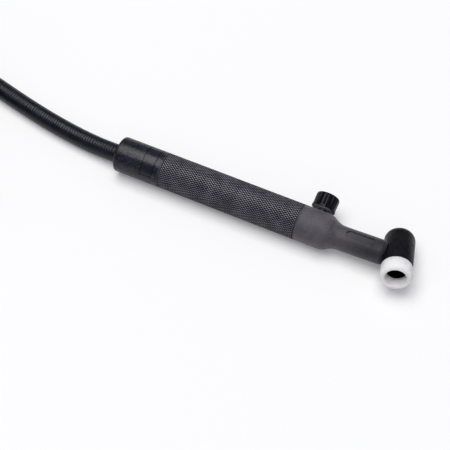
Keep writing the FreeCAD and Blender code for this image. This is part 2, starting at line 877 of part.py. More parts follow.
def ferrule(label, place):
    """Crimped sleeve over the end of the cable, with two pressed grooves."""
    s = size
    groove = s.ferrule_length / 8
    corners = [(0, s.hose_stem + s.slip_gap), (s.ferrule_length, s.hose_stem + s.slip_gap)]
    corners.append((s.ferrule_length, s.ferrule_radius))
    for step in (6, 3):
        rear = groove * step
        corners += [
            (rear, s.ferrule_radius),
            (rear - groove / 2, s.ferrule_radius - s.crimp_depth),
            (rear - groove, s.ferrule_radius - s.crimp_depth),
            (rear - groove * 1.5, s.ferrule_radius),
        ]
    corners.append((0, s.ferrule_radius))
    keep(revolved(label, corners, place=place))


def make_front_joint(tail_end):
    """Union between the tail tube and the cable, inside the handle. Returns where the cable starts."""
    s = size
    shoulder_end = s.male_length + s.shoulder_length
    socket_start = shoulder_end - s.socket_depth - s.braze_gap
    nipple_start = tail_end - socket_start - s.braze_gap
    keep(
        revolved(
            "tail_nipple",
            [
                (0, s.gas_bore),
                (socket_start, s.gas_bore),
                (socket_start, s.brazed_bore),
                (shoulder_end, s.brazed_bore),
                (shoulder_end, s.male_shoulder),
                (s.male_length, s.male_shoulder),
                (s.male_length, s.male_thread),
                (0, s.male_thread),
            ],
            place=along(nipple_start),
        )
    )
    nut_start = nipple_start + s.male_length - s.nut_gap - s.nut_length
    hex_nut("front_union_nut", s.nut_flats, s.nut_length, s.male_thread, s.hose_stem, along(nut_start))
    seat_end = nipple_start - s.slip_gap
    seat_start = seat_end - s.seat_length
    stem_start = nut_start - s.ferrule_length - s.slip_gap
    stem = seat_start - stem_start
    keep(
        revolved(
            "front_hose_nipple",
            [
                (0, s.gas_bore),
                (stem + s.seat_length, s.gas_bore),
                (stem + s.seat_length, s.hose_seat),
                (stem, s.hose_seat),
                (stem, s.hose_stem),
                (0, s.hose_stem),
            ],
            place=along(stem_start),
        )
    )
    ferrule("front_ferrule", along(stem_start))
    return stem_start


# The cable's route, chosen by hand. It leaves the handle on the handle's axis, and from the first of
# these points on it lies on the table, each point an X and a Y. The last two are the start of the hank's
# first run, which lies on the ties.
AXIS_END = -124.0
CABLE_ROUTE = [
    (-166.0, 1.9),
    (-203.0, 6.3),
    (-238.0, 13.4),
    (-275.0, 22.6),
    (-308.0, 30.3),
    (-343.2, 30.3),
]


def cord_tube(label, edges, radius):
    """Length of the cable, checked against its section times its length."""
    piece = swept(label, edges, radius)
    path = Part.Wire(edges)
    ratio = piece.Shape.Volume / (math.pi * radius ** 2 * path.Length)
    print(label, "length", round(path.Length, 1), "volume ratio", round(ratio, 5))
    return keep(piece)


def rounded_route(points):
    """Straight runs joined by tangent arcs, each nearly as large as its two runs allow."""
    share = 0.45
    edges = []
    radii = []
    last = points[0]
    for before, corner, after in zip(points, points[1:], points[2:]):
        back = before - corner
        ahead = after - corner
        turn = math.pi - back.getAngle(ahead)
        reach = share * min(back.Length, ahead.Length)
        radii.append(reach / math.tan(turn / 2))
        back.normalize()
        ahead.normalize()
        begin = corner + back * reach
        end = corner + ahead * reach
        to_middle = (back + ahead).normalize()
        depth = radii[-1] / math.cos(turn / 2) - radii[-1]
        edges.append(Part.LineSegment(last, begin).toShape())
        edges.append(Part.Arc(begin, corner + to_middle * depth, end).toShape())
        last = end
    edges.append(Part.LineSegment(last, points[-1]).toShape())
    print("bend radii", [round(radius) for radius in radii])
    return edges


def half_turn(start, way, across, radius, rise):
    """Half circle from start, turning towards across, that ends radius * 2 away and rise higher."""
    end = start + across * (radius * 2) + vec(0, 0, rise)
    middle = (start + end) / 2
    reach = (end - start).Length / 2
    return Part.Arc(start, middle + way * reach, end).toShape(), end


def hank_edges(start, way):
    """Hank that is two lanes wide. It winds inwards on the ties, climbs in its inner lane to the
    top layer, and comes down in its outer lane to lie above its first turn. Each turn is two
    straight runs and two half turns. At the front a half turn that changes lane stands one step
    out, and one in the outer lane two, so that they pass each other."""
    s = size
    layers = int(s.hank_layers.number)
    layer = s.layer_pitch.number
    inner = s.hank_fold.number
    outer = inner + s.lane_pitch.number
    between = (inner + outer) / 2
    rear = [outer] + [inner] * layers + [outer] * (layers - 1)
    front = [(between, 1, 0)] + [(inner, 0, layer)] * (layers - 1)
    front += [(between, 1, 0)] + [(outer, 2, -layer)] * (layers - 2)
    across = vec(-way.y, way.x, 0)
    edges = []
    point = start

    def run(steps, extra=0.0):
        end = point + way * (s.hank_run.number + s.hank_step.number * steps + extra)
        edges.append(Part.LineSegment(point, end).toShape())
        return end

    def fold(radius, rise):
        edge, end = half_turn(point, way, across, radius, rise)
        edges.append(edge)
        return end

    steps = 2
    point = run(steps, s.hank_lead.number)
    for radius, (turn_radius, next_steps, rise) in zip(rear, front):
        point = fold(radius, 0)
        way, across = way * -1, across * -1
        point = run(next_steps)
        point = fold(turn_radius, rise)
        way, across = way * -1, across * -1
        point = run(next_steps)
    point = fold(rear[-1], 0)
    way = way * -1
    point = run(steps)
    return edges, point, way


def least_gap(edges, radius):
    """Least distance between the tube's own turns, on points along its path."""
    path = Part.Wire(edges)
    step = 6.0
    points = path.discretize(Number=int(path.Length / step))
    skip = int(radius * 2 * math.pi / step) + 2
    least = min(
        first.distanceToPoint(second)
        for index, first in enumerate(points)
        for second in points[index + skip:]
    )
    return least - radius * 2


def make_cable(cable_start):
    """Cable from the union to the hank, the hank, and the tail to the supply end."""
    s = size
    radius = s.cable_radius.number
    floor = -s.handle_outer.number
    route = [vec(cable_start.number, 0, 0), vec(AXIS_END, 0, 0)]
    route += [vec(x, y, floor + radius) for x, y in CABLE_ROUTE]
    for point in route[-2:]:
        point.z += s.hank_lift.number
    cord_tube("cable_run", rounded_route(route), radius)
    start = route[-1]
    way = (start - route[-2]).normalize()
    edges, end, back = hank_edges(start, way)
    print("hank's least gap to itself", round(least_gap(edges, radius), 2))
    cord_tube("cable_hank", edges, radius)
    make_ties(start)
    lead = s.tail_lead.number
    turned = FreeCAD.Rotation(vec(0, 0, 1), s.tail_turn.number).multVec(back)
    bend = end + back * lead
    landing = bend + turned * s.tail_fall.number
    tail = [end, bend, landing, landing + turned * lead]
    for point in tail[2:]:
        point.z = floor + s.supply_flats.number / math.sqrt(3) + s.slip_gap.number
    cord_tube("cable_tail", rounded_route(tail), radius)
    return tail[-1], turned


def rounded_block(label, middle, length, half_width, half_height, corner):
    """Box about its middle, with the edges along X rounded."""
    box = doc.addObject("Part::Box", label + "_box")
    expression(box, "Length", length)
    expression(box, "Width", half_width * 2)
    expression(box, "Height", half_height * 2)
    box.Placement.Base = middle - vec(length.number / 2, half_width.number, half_height.number)
    doc.recompute()
    block = doc.addObject("Part::Fillet", label)
    block.Base = box
    block.Edges = [
        (index + 1, corner.number, corner.number)
        for index, edge in enumerate(box.Shape.Edges)
        if abs(edge.tangentAt(edge.FirstParameter).x) > 0.9
    ]
    return block


def make_ties(start):
    """Straps that hold the hank, one round each of its two sides, half way along its runs."""
    s = size
    corner = s.cable_radius + s.tie_gap
    half_height = s.layer_pitch * ((s.hank_layers.number - 1) / 2)
    reach = s.hank_lead + s.hank_step * 2 + s.hank_run / 2
    aside = s.hank_fold + s.lane_pitch
    middle = start + vec(-reach.number, -aside.number, half_height.number)
    half_width = s.lane_pitch / 2 + corner
    half_height = half_height + corner
    for label, side in (("far_hank_tie", 1), ("near_hank_tie", -1)):
        centre = middle + vec(0, side * (s.hank_fold + s.lane_pitch / 2).number, 0)
        wall = s.tie_wall
        strap = rounded_block(
            label + "_outside", centre, s.tie_width, half_width + wall, half_height + wall, corner + wall
        )
        room = rounded_block(label + "_inside", centre, s.tie_width * 1.5, half_width, half_height, corner)
        keep(cut(label, strap, [room]))


def make_supply_end(start, way):
    """Ferrule, hose nipple and the captive nut that swivels on it."""
    s = size
    ferrule("rear_ferrule", pointing(start, way))
    lip_start = s.ferrule_length + s.nut_gap
    collar_start = lip_start + s.nut_lip + s.running_gap
    thread_start = s.supply_nut - s.supply_length + lip_start
    nose = thread_start - s.nut_gap
    seat = s.supply_thread - s.running_gap * 2
    keep(
        revolved(
            "rear_hose_nipple",
            [
                (0, s.gas_bore),
                (nose, s.gas_bore),
                (nose, s.hose_stem),
                (collar_start + s.seat_length, seat),
                (collar_start, seat),
                (collar_start, s.hose_stem),
                (0, s.hose_stem),
            ],
            place=pointing(start, way),
        )
    )
    hex_nut(
        "supply_nut",
        s.supply_flats,
        s.supply_nut,
        s.supply_thread,
        s.hose_stem,
        pointing(start + way * lip_start.number, way),
        s.supply_nut - s.supply_length,
    )


def settle(pieces, cord_names):
    """Move every piece together, so that the torch lies on Z = 0 about the origin."""
    box = FreeCAD.BoundBox()
    for piece in pieces:
        if piece.Label not in cord_names:
            box.add(piece.Shape.BoundBox)
    shift = vec(-box.Center.x, -box.Center.y, size.handle_outer.number)
    for piece in pieces:
        place = piece.Placement
        place.Base = place.Base + shift
        piece.Placement = place
    doc.recompute()
    return shift


def check_and_write(pieces):
    for thing in doc.Objects:
        bad = [state for state in thing.State if state in ("Invalid", "Error")]
        if bad:
            raise ValueError("%s is %s" % (thing.Label, bad))
    for piece in pieces:
        if piece.Shape.isNull() or not piece.Shape.isValid():
            raise ValueError(piece.Label + " has no valid shape")
    os.makedirs("parts", exist_ok=True)
    for piece in pieces:
        piece.Shape.exportStep("parts/%s.step" % piece.Label)
        print(piece.Label, "volume", round(piece.Shape.Volume, 1), "solids", len(piece.Shape.Solids))


def show(label, point, way=None):
    words = [round(value / 1000, 6) for value in point]
    print(label, words, [round(value, 6) for value in way] if way else "")


make_handle()
make_collar()
make_sleeve()
tube_front = make_head()
tail_tube_end = make_tubes(tube_front)
make_valve()
make_knob()
cable_from = make_front_joint(tail_tube_end)
supply_start, supply_way = make_cable(cable_from)
make_supply_end(supply_start, supply_way)
doc.recompute()
cord_pieces = [
    "cable_run",
    "cable_hank",
    "cable_tail",
    "far_hank_tie",
    "near_hank_tie",
    "rear_ferrule",
    "rear_hose_nipple",
    "supply_nut",
]
moved = settle(parts, cord_pieces)
check_and_write(parts)

show("shift", moved)
show("cable start", vec(cable_from.number, 0, 0) + moved)
show("valve axis", valve_middle + moved, valve_way)
show("head axis", head_middle + moved, head_way)
show("supply end", supply_start + moved, supply_way)
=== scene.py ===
import bpy
import math
from mathutils import Matrix, Vector


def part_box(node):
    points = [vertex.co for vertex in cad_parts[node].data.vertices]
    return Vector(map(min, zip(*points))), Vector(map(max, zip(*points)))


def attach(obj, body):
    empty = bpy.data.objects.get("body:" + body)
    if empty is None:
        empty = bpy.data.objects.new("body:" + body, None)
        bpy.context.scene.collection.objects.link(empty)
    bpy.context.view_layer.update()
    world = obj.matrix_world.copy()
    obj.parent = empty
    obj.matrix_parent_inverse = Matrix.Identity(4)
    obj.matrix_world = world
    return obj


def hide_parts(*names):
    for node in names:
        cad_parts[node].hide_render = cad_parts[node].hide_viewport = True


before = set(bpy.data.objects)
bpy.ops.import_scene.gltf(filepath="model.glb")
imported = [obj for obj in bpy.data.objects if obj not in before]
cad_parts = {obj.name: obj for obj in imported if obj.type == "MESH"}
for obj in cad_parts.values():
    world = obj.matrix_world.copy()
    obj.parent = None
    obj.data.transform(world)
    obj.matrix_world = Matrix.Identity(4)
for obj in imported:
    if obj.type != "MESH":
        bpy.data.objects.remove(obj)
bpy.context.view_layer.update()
bpy.ops.object.select_all(action="DESELECT")
scene = bpy.context.scene
scene.view_settings.view_transform = "Standard"
mm = 0.001
tiny = 1e-6  # metres: points closer than this are one point
toolReach = 30 * mm  # how far a cutting tool runs out from the middle of what it cuts

# Where the CAD model has the handle's front end, the neck's bend, the head and the valve, on their axes.
handleFront = Vector((0.027204, -0.002308, 0.0135))
handleWay = Vector((1, 0, 0))
neckBend = Vector((0.061204, -0.002308, 0.0135))
neckTurn = math.radians(3.15)
neckWay = Vector((math.cos(neckTurn), 0, math.sin(neckTurn)))
headMiddle = Vector((0.101993, -0.002308, 0.015745))
headWay = Vector((0.233445, -0.936092, 0.263124)).normalized()
valveMiddle = Vector((0.038704, -0.002308, 0.0135))
valveWay = Vector((0.0, 0.969016, 0.246999)).normalized()

view = {
    "place": Vector((0.173091, -0.445708, 0.731070)),  # fitted to the photo
    "target": Vector((-0.024746, -0.019408, 0.0)),
    "lens": 94.6,
    "sensor": 36.0,
    "clip": (0.01, 50.0),
}
cameraData = bpy.data.cameras.new("camera")
cameraData.lens = view["lens"]
cameraData.sensor_width = view["sensor"]
cameraData.clip_start, cameraData.clip_end = view["clip"]
camera = bpy.data.objects.new("camera", cameraData)
scene.collection.objects.link(camera)
camera.location = view["place"]
camera.rotation_euler = (view["target"] - view["place"]).to_track_quat("-Z", "Y").to_euler()
scene.camera = camera
print("camera set")


def hexColour(code):  # sRGB hex to linear
    values = [int(code[i:i + 2], 16) / 255 for i in (0, 2, 4)]
    return [v / 12.92 if v <= 0.04045 else ((v + 0.055) / 1.055) ** 2.4 for v in values] + [1.0]


def addNode(tree, kind, settings=None, inputs=None):  # one node, with its settings, values and links
    node = tree.nodes.new(kind)
    for key, value in (settings or {}).items():
        setattr(node, key, value)
    for key, value in (inputs or {}).items():
        if isinstance(value, bpy.types.NodeSocket):
            tree.links.new(value, node.inputs[key])
        else:
            node.inputs[key].default_value = value
    return node


def newMaterial(name, **numbers):  # numbers that are the same all over go straight on the shader's sockets
    material = bpy.data.materials.new(name)
    material.use_nodes = True
    tree = material.node_tree
    tree.nodes.clear()
    shader = addNode(tree, "ShaderNodeBsdfPrincipled")
    output = addNode(tree, "ShaderNodeOutputMaterial")
    tree.links.new(shader.outputs["BSDF"], output.inputs["Surface"])
    for key, value in numbers.items():
        shader.inputs[key.replace("_", " ")].default_value = value
    return material, tree, shader


def setRamp(node, stops):
    ramp = node.color_ramp
    while len(ramp.elements) > 1:
        ramp.elements.remove(ramp.elements[-1])
    ramp.elements[0].position, ramp.elements[0].color = stops[0]
    for place, colour in stops[1:]:
        ramp.elements.new(place).color = colour


def coat(tree, shader, colour, gloss, height):  # what changes over the surface goes to the shader
    tree.links.new(colour, shader.inputs["Base Color"])
    tree.links.new(gloss.outputs["Result"], shader.inputs["Roughness"])
    tree.links.new(height.outputs["Normal"], shader.inputs["Normal"])


def moulded(name, low, high, rough, grain, bump, patch=12.0, **numbers):
    # Two close tones in soft patches, and a fine grain in colour and height. Sizes are in millimetres.
    material, tree, shader = newMaterial(name, **numbers)
    coords = addNode(tree, "ShaderNodeTexCoord")
    soft = addNode(tree, "ShaderNodeTexNoise", {}, {
        "Vector": coords.outputs["Object"], "Scale": 1 / (patch * mm), "Detail": 4.0, "Roughness": 0.6})
    fine = addNode(tree, "ShaderNodeTexNoise", {}, {
        "Vector": coords.outputs["Object"], "Scale": 1 / (grain * mm), "Detail": 3.0, "Roughness": 0.65})
    both = addNode(tree, "ShaderNodeMix", {"data_type": "FLOAT"}, {
        0: 0.45, 2: soft.outputs["Fac"], 3: fine.outputs["Fac"]})
    tone = addNode(tree, "ShaderNodeValToRGB", {}, {"Fac": both.outputs[0]})
    setRamp(tone, [(0.36, hexColour(low)), (0.64, hexColour(high))])
    gloss = addNode(tree, "ShaderNodeMapRange", {}, {
        "Value": soft.outputs["Fac"], "From Min": 0.3, "From Max": 0.7,
        "To Min": rough[0], "To Max": rough[1]})
    height = addNode(tree, "ShaderNodeBump", {}, {
        "Height": fine.outputs["Fac"], "Strength": bump, "Distance": grain * mm * 0.3})
    coat(tree, shader, tone.outputs["Color"], gloss, height)
    return material


# Glass-filled nylon from a spark-eroded mould: dark grey and matte, with a grain of about 0.4 mm that is
# drawn at 1.1 mm so that it shows.
greyNylon = moulded("greyNylon", "3a373f", "58545c", rough=(0.5, 0.68), grain=1.1, bump=0.9, patch=7,
                    IOR=1.53, Sheen_Weight=0.3, Sheen_Roughness=0.45)
# Silicone rubber off a polished mould: nearly black and smooth, with one faint broad sheen.
headRubber = moulded("headRubber", "060509", "100e16", rough=(0.22, 0.52), grain=0.9, bump=0.3, patch=4,
                     IOR=1.41, Specular_IOR_Level=0.3)
# Turned white fluoropolymer: bright and waxy, a little warm where light comes through its rim.
whitePtfe = moulded("whitePtfe", "f6f2f0", "fdfaf8", rough=(0.38, 0.5), grain=0.7, bump=0.12, patch=6,
                    IOR=1.38, Subsurface_Weight=0.7, Subsurface_Scale=6 * mm,
                    Subsurface_Radius=(1.0, 0.93, 0.86))
# Hard plastic off a polished mould: black with sharp reflections.
polishedPlastic = moulded("polishedPlastic", "04040a", "0b0b14", rough=(0.13, 0.2), grain=1.5, bump=0.05,
                          patch=8, IOR=1.49, Specular_IOR_Level=0.2)
# The same plastic where the mould wasn't polished, under the knob: dry, and painted grey for the light that
# bounces up onto it from below.
litUndersidePlastic = moulded("litUndersidePlastic", "9a98a6", "aeacb9", rough=(0.6, 0.75), grain=0.6, bump=0.3,
                       patch=5, IOR=1.5)
# Vinyl tape, as dark as the rubber under it and slightly smoother.
vinylTape = moulded("vinylTape", "0d0d19", "191828", rough=(0.24, 0.36), grain=0.8, bump=0.2, patch=6,
                    IOR=1.53, Specular_IOR_Level=0.33)
# Moulded nitrile seal: black and plain.
nitrile = moulded("nitrile", "0a0a0b", "141416", rough=(0.4, 0.55), grain=0.4, bump=0.2, IOR=1.52)


def metal(name, low, high, rough, marks):
    # Machined metal: its colour drifts a little, and fine tool marks break up the highlight. Marks are in
    # millimetres.
    material, tree, shader = newMaterial(name, Metallic=1.0)
    coords = addNode(tree, "ShaderNodeTexCoord")
    drift = addNode(tree, "ShaderNodeTexNoise", {}, {
        "Vector": coords.outputs["Object"], "Scale": 1 / (8 * mm), "Detail": 5.0})
    fine = addNode(tree, "ShaderNodeTexNoise", {}, {
        "Vector": coords.outputs["Object"], "Scale": 1 / (marks * mm), "Detail": 2.0})
    tone = addNode(tree, "ShaderNodeValToRGB", {}, {"Fac": drift.outputs["Fac"]})
    setRamp(tone, [(0.3, hexColour(low)), (0.7, hexColour(high))])
    gloss = addNode(tree, "ShaderNodeMapRange", {}, {
        "Value": drift.outputs["Fac"], "From Min": 0.3, "From Max": 0.7,
        "To Min": rough[0], "To Max": rough[1]})
    height = addNode(tree, "ShaderNodeBump", {}, {
        "Height": fine.outputs["Fac"], "Strength": 0.15, "Distance": marks * mm * 0.3})
    coat(tree, shader, tone.outputs["Color"], gloss, height)
    return material


# Free-cutting brass, turned: warm yellow, slightly dulled by handling.
turnedBrass = metal("turnedBrass", "b98f4c", "d8b36c", rough=(0.24, 0.36), marks=0.6)
# Brass blackened in a bath, on what shows at head and valve: charcoal, with little shine.
blackenedBrass = metal("blackenedBrass", "26242a", "3a373e", rough=(0.45, 0.6), marks=0.6)
# Drawn copper tube: reddish, a little oxidised.
drawnCopper = metal("drawnCopper", "a8653f", "c98560", rough=(0.28, 0.42), marks=0.8)
# Zinc-plated steel: cool and bright.
platedSteel = metal("platedSteel", "a9adb2", "c9cccf", rough=(0.22, 0.32), marks=0.5)


def knurledPhenolicMaterial():
    # Compression-moulded phenolic: black grooves, and grey crests, partly rubbed by handling and partly a
    # painted highlight for the glints they catch; the crests are also shinier.
    material, tree, shader = newMaterial("knurledPhenolic", IOR=1.55)
    coords = addNode(tree, "ShaderNodeTexCoord")
    crest = addNode(tree, "ShaderNodeAttribute", {"attribute_name": "crest"})
    patches = addNode(tree, "ShaderNodeTexNoise", {}, {
        "Vector": coords.outputs["Object"], "Scale": 1 / (9 * mm), "Detail": 4.0})
    grain = addNode(tree, "ShaderNodeTexNoise", {}, {
        "Vector": coords.outputs["Object"], "Scale": 1 / (0.5 * mm), "Detail": 2.0})
    groove = addNode(tree, "ShaderNodeValToRGB", {}, {"Fac": grain.outputs["Fac"]})
    setRamp(groove, [(0.35, hexColour("050507")), (0.65, hexColour("0d0d11"))])
    rubbedAndGlint = addNode(tree, "ShaderNodeValToRGB", {}, {"Fac": patches.outputs["Fac"]})
    setRamp(rubbedAndGlint, [(0.35, hexColour("5d5b67")), (0.65, hexColour("807e8a"))])
    tone = addNode(tree, "ShaderNodeMix", {"data_type": "RGBA"}, {
        "Factor": crest.outputs["Fac"], 6: groove.outputs["Color"], 7: rubbedAndGlint.outputs["Color"]})
    gloss = addNode(tree, "ShaderNodeMapRange", {}, {
        "Value": patches.outputs["Fac"], "From Min": 0.3, "From Max": 0.7, "To Min": 0.42, "To Max": 0.55})
    shine = addNode(tree, "ShaderNodeMapRange", {}, {
        "Value": crest.outputs["Fac"], "To Min": 0.1, "To Max": 0.5})
    height = addNode(tree, "ShaderNodeBump", {}, {
        "Height": grain.outputs["Fac"], "Strength": 0.2, "Distance": 0.1 * mm})
    tree.links.new(shine.outputs["Result"], shader.inputs["Specular IOR Level"])
    coat(tree, shader, tone.outputs[2], gloss, height)
    return material


def satinRubberMaterial():
    # Moulded rubber with a satin skin: blue-black, a soft wide highlight, and short pale scuffs of about
    # a millimetre.
    material, tree, shader = newMaterial("satinRubber", IOR=1.52, Specular_IOR_Level=0.33)
    coords = addNode(tree, "ShaderNodeTexCoord")
    along = addNode(tree, "ShaderNodeMapping", {}, {
        "Vector": coords.outputs["Object"], "Scale": (0.6, 1.0, 1.0)})
    patches = addNode(tree, "ShaderNodeTexNoise", {}, {
        "Vector": coords.outputs["Object"], "Scale": 1 / (7 * mm), "Detail": 5.0, "Roughness": 0.65})
    scuffs = addNode(tree, "ShaderNodeTexNoise", {}, {
        "Vector": along.outputs["Vector"], "Scale": 1 / (0.85 * mm), "Detail": 3.0, "Roughness": 0.7})
    worn = addNode(tree, "ShaderNodeMapRange", {}, {
        "Value": scuffs.outputs["Fac"], "From Min": 0.52, "From Max": 0.68})
    skin = addNode(tree, "ShaderNodeValToRGB", {}, {"Fac": patches.outputs["Fac"]})
    setRamp(skin, [(0.34, hexColour("05050f")), (0.66, hexColour("11101e"))])
    tone = addNode(tree, "ShaderNodeMix", {"data_type": "RGBA"}, {
        "Factor": worn.outputs["Result"], 6: skin.outputs["Color"], 7: hexColour("474556")})
    gloss = addNode(tree, "ShaderNodeMapRange", {}, {
        "Value": patches.outputs["Fac"], "From Min": 0.3, "From Max": 0.7, "To Min": 0.24, "To Max": 0.38})
    height = addNode(tree, "ShaderNodeBump", {}, {
        "Height": scuffs.outputs["Fac"], "Strength": 0.3, "Distance": 0.25 * mm})
    coat(tree, shader, tone.outputs[2], gloss, height)
    return material


def cableRubberMaterial():
    # Extruded rubber jacket: black and satin, with ripples where the strands under it press through. The
    # strands' lay is about 1.5 mm and is drawn at 2.1 mm so that it shows.
    material, tree, shader = newMaterial("cableRubber", IOR=1.52, Specular_IOR_Level=0.3)
    coords = addNode(tree, "ShaderNodeTexCoord")
    travelled = addNode(tree, "ShaderNodeAttribute", {"attribute_name": "along"})
    patches = addNode(tree, "ShaderNodeTexNoise", {}, {
        "Vector": coords.outputs["Object"], "Scale": 1 / (8 * mm), "Detail": 4.0})
    waver = addNode(tree, "ShaderNodeTexNoise", {}, {
        "Vector": coords.outputs["Object"], "Scale": 1 / (4 * mm), "Detail": 3.0})
    shift = addNode(tree, "ShaderNodeMath", {"operation": "MULTIPLY"}, {  # the ripples don't run true
        0: waver.outputs["Fac"], 1: 9.0})
    phase = addNode(tree, "ShaderNodeMath", {"operation": "MULTIPLY_ADD"}, {
        0: travelled.outputs["Fac"], 1: 2 * math.pi / (2.1 * mm), 2: shift.outputs[0]})
    ripple = addNode(tree, "ShaderNodeMath", {"operation": "SINE"}, {0: phase.outputs[0]})
    tone = addNode(tree, "ShaderNodeValToRGB", {}, {"Fac": patches.outputs["Fac"]})
    setRamp(tone, [(0.34, hexColour("070814")), (0.66, hexColour("121222"))])
    gloss = addNode(tree, "ShaderNodeMapRange", {}, {
        "Value": patches.outputs["Fac"], "From Min": 0.3, "From Max": 0.7, "To Min": 0.24, "To Max": 0.4})
    height = addNode(tree, "ShaderNodeBump", {}, {
        "Height": ripple.outputs[0], "Strength": 0.5, "Distance": 0.1 * mm})
    coat(tree, shader, tone.outputs["Color"], gloss, height)
    return material


def wovenStrapMaterial():
    # Woven nylon strap with a looped face: black, with ribs across it. Its threads are about 0.4 mm apart
    # and are drawn at 1 mm so that they show.
    material, tree, shader = newMaterial("wovenStrap", IOR=1.53, Sheen_Weight=0.35, Sheen_Roughness=0.5)
    wavePeriod = 0.314  # of the Wave texture at scale 1
    coords = addNode(tree, "ShaderNodeTexCoord")
    ribs = addNode(tree, "ShaderNodeTexWave", {"bands_direction": "X"}, {
        "Vector": coords.outputs["Object"], "Scale": wavePeriod / (1.0 * mm),
        "Distortion": 1.2, "Detail": 2.0})
    loops = addNode(tree, "ShaderNodeTexNoise", {}, {
        "Vector": coords.outputs["Object"], "Scale": 1 / (0.8 * mm), "Detail": 4.0})
    both = addNode(tree, "ShaderNodeMix", {"data_type": "FLOAT"}, {
        0: 0.5, 2: ribs.outputs["Fac"], 3: loops.outputs["Fac"]})
    tone = addNode(tree, "ShaderNodeValToRGB", {}, {"Fac": both.outputs[0]})
    setRamp(tone, [(0.25, hexColour("16161a")), (0.75, hexColour("34343b"))])
    gloss = addNode(tree, "ShaderNodeMapRange", {}, {
        "Value": loops.outputs["Fac"], "To Min": 0.75, "To Max": 0.95})
    height = addNode(tree, "ShaderNodeBump", {}, {
        "Height": both.outputs[0], "Strength": 0.8, "Distance": 0.3 * mm})
    coat(tree, shader, tone.outputs["Color"], gloss, height)
    return material


# Painted shade on the neck: where it begins and where it is full, its strength across the torch, and its
# clouds.
neckShade = {
    "colour": "15131b",
    "starts": neckBend.x - 8 * mm,
    "full": headMiddle.x - 14 * mm,
    "farSide": (4 * mm, 0.8),  # place across the torch, and strength there
    "nearSide": (-10 * mm, 1.35),
    "cloud": 6 * mm,
    "uneven": (0.8, 0.6),  # share of the cloud, and what is there without it
}


def paintNeckShade():
    # Painted shade: the nylon is darkened towards the head, and most on the neck's lower near side, where
    # shade falls.
    s = neckShade
    tree = greyNylon.node_tree
    shader = tree.nodes["Principled BSDF"]
    clean = shader.inputs["Base Color"].links[0].from_socket
    coords = addNode(tree, "ShaderNodeTexCoord")
    axes = addNode(tree, "ShaderNodeSeparateXYZ", {}, {0: coords.outputs["Object"]})
    ahead = addNode(tree, "ShaderNodeMapRange", {}, {
        "Value": axes.outputs["X"], "From Min": s["starts"], "From Max": s["full"]})
    under = addNode(tree, "ShaderNodeMapRange", {}, {
        "Value": axes.outputs["Y"], "From Min": s["farSide"][0], "From Max": s["nearSide"][0],
        "To Min": s["farSide"][1], "To Max": s["nearSide"][1]})
    cloud = addNode(tree, "ShaderNodeTexNoise", {}, {
        "Vector": coords.outputs["Object"], "Scale": 1 / s["cloud"], "Detail": 4.0})
    uneven = addNode(tree, "ShaderNodeMath", {"operation": "MULTIPLY_ADD"}, {
        0: cloud.outputs["Fac"], 1: s["uneven"][0], 2: s["uneven"][1]})
    both = addNode(tree, "ShaderNodeMath", {"operation": "MULTIPLY"}, {
        0: ahead.outputs["Result"], 1: under.outputs["Result"]})
    share = addNode(tree, "ShaderNodeMath", {"operation": "MULTIPLY", "use_clamp": True}, {
        0: both.outputs[0], 1: uneven.outputs[0]})
    tone = addNode(tree, "ShaderNodeMix", {"data_type": "RGBA"}, {
        "Factor": share.outputs[0], 6: clean, 7: hexColour(s["colour"])})
    tree.links.new(tone.outputs[2], shader.inputs["Base Color"])


# Paints shade onto the grey nylon of the neck.
paintNeckShade()
knurledPhenolic = knurledPhenolicMaterial()
satinRubber = satinRubberMaterial()
cableRubber = cableRubberMaterial()
wovenStrap = wovenStrapMaterial()
print("materials made")


def dress(piece, *materials):
    piece.data.materials.clear()
    for material in materials:
        piece.data.materials.append(material)


def pick(piece):  # the only selected and the active object
    if bpy.context.object and bpy.context.object.mode != "OBJECT":
        bpy.ops.object.mode_set(mode="OBJECT")
    bpy.ops.object.select_all(action="DESELECT")
    piece.select_set(True)
    bpy.context.view_layer.objects.active = piece


def choose(piece, kind, wanted):  # edit mode, with only the wanted vertices, edges or faces selected
    pick(piece)
    bpy.ops.object.mode_set(mode="EDIT")
    bpy.ops.mesh.select_mode(type=kind)
    bpy.ops.mesh.select_all(action="DESELECT")
    bpy.ops.object.mode_set(mode="OBJECT")
    mesh = piece.data
    for part in {"VERT": mesh.vertices, "EDGE": mesh.edges, "FACE": mesh.polygons}[kind]:
        part.select = wanted(part)
    bpy.ops.object.mode_set(mode="EDIT")


def bake(piece):  # place and turn go into the mesh
    pick(piece)
    bpy.ops.object.transform_apply(location=True, rotation=True, scale=True)


def finish(piece, name, slot, material, *nodes, body="torch"):
    bake(piece)
    piece.name = piece.data.name = name
    dress(piece, material)
    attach(piece, body)
    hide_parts(*nodes)
    piece.select_set(False)
    print(name, "has", len(piece.data.polygons), "faces")


def aimed(base, way):  # stands local Z along way, at base
    return Matrix.Translation(base) @ way.to_track_quat("Z", "Y").to_matrix().to_4x4()


cable = {
    "diameter": 14.3 * mm,
    "stepsAlong": 4,  # between two points of the line
    "roundness": 6,  # Blender's bevel resolution
    "length": 3.82,  # metres
    "exit": (-0.075896, -0.002308, 0.0135),
    "route": [  # out of the handle and along the table, to the ties
        (-0.075896, -0.002308, 0.0135),
        (-0.096796, -0.002308, 0.0135),
        (-0.138796, -0.000408, 0.00715),
        (-0.175796, 0.003992, 0.00715),
        (-0.210796, 0.011092, 0.00715),
        (-0.247796, 0.020292, 0.00715),
        (-0.280796, 0.027992, 0.00855),
        (-0.315996, 0.027992, 0.00855),
    ],
    "lead": 10.0 * mm,
    "run": 59.0 * mm,  # straight, from a rear fold to the innermost front fold
    "step": 12.0 * mm,  # from one front fold to the next one out
    "fold": 43.2 * mm,  # radius of the inner lane's folds
    "lane": 14.9 * mm,  # between the lanes' middles
    "layer": 15.1 * mm,
    "layers": 4,
    "perTurn": 24,
    "tail": [
        (-0.303996, -0.088208, 0.02365),
        (-0.266088, -0.085558, 0.012752),
        (-0.244142, -0.084023, 0.012752),
    ],
}


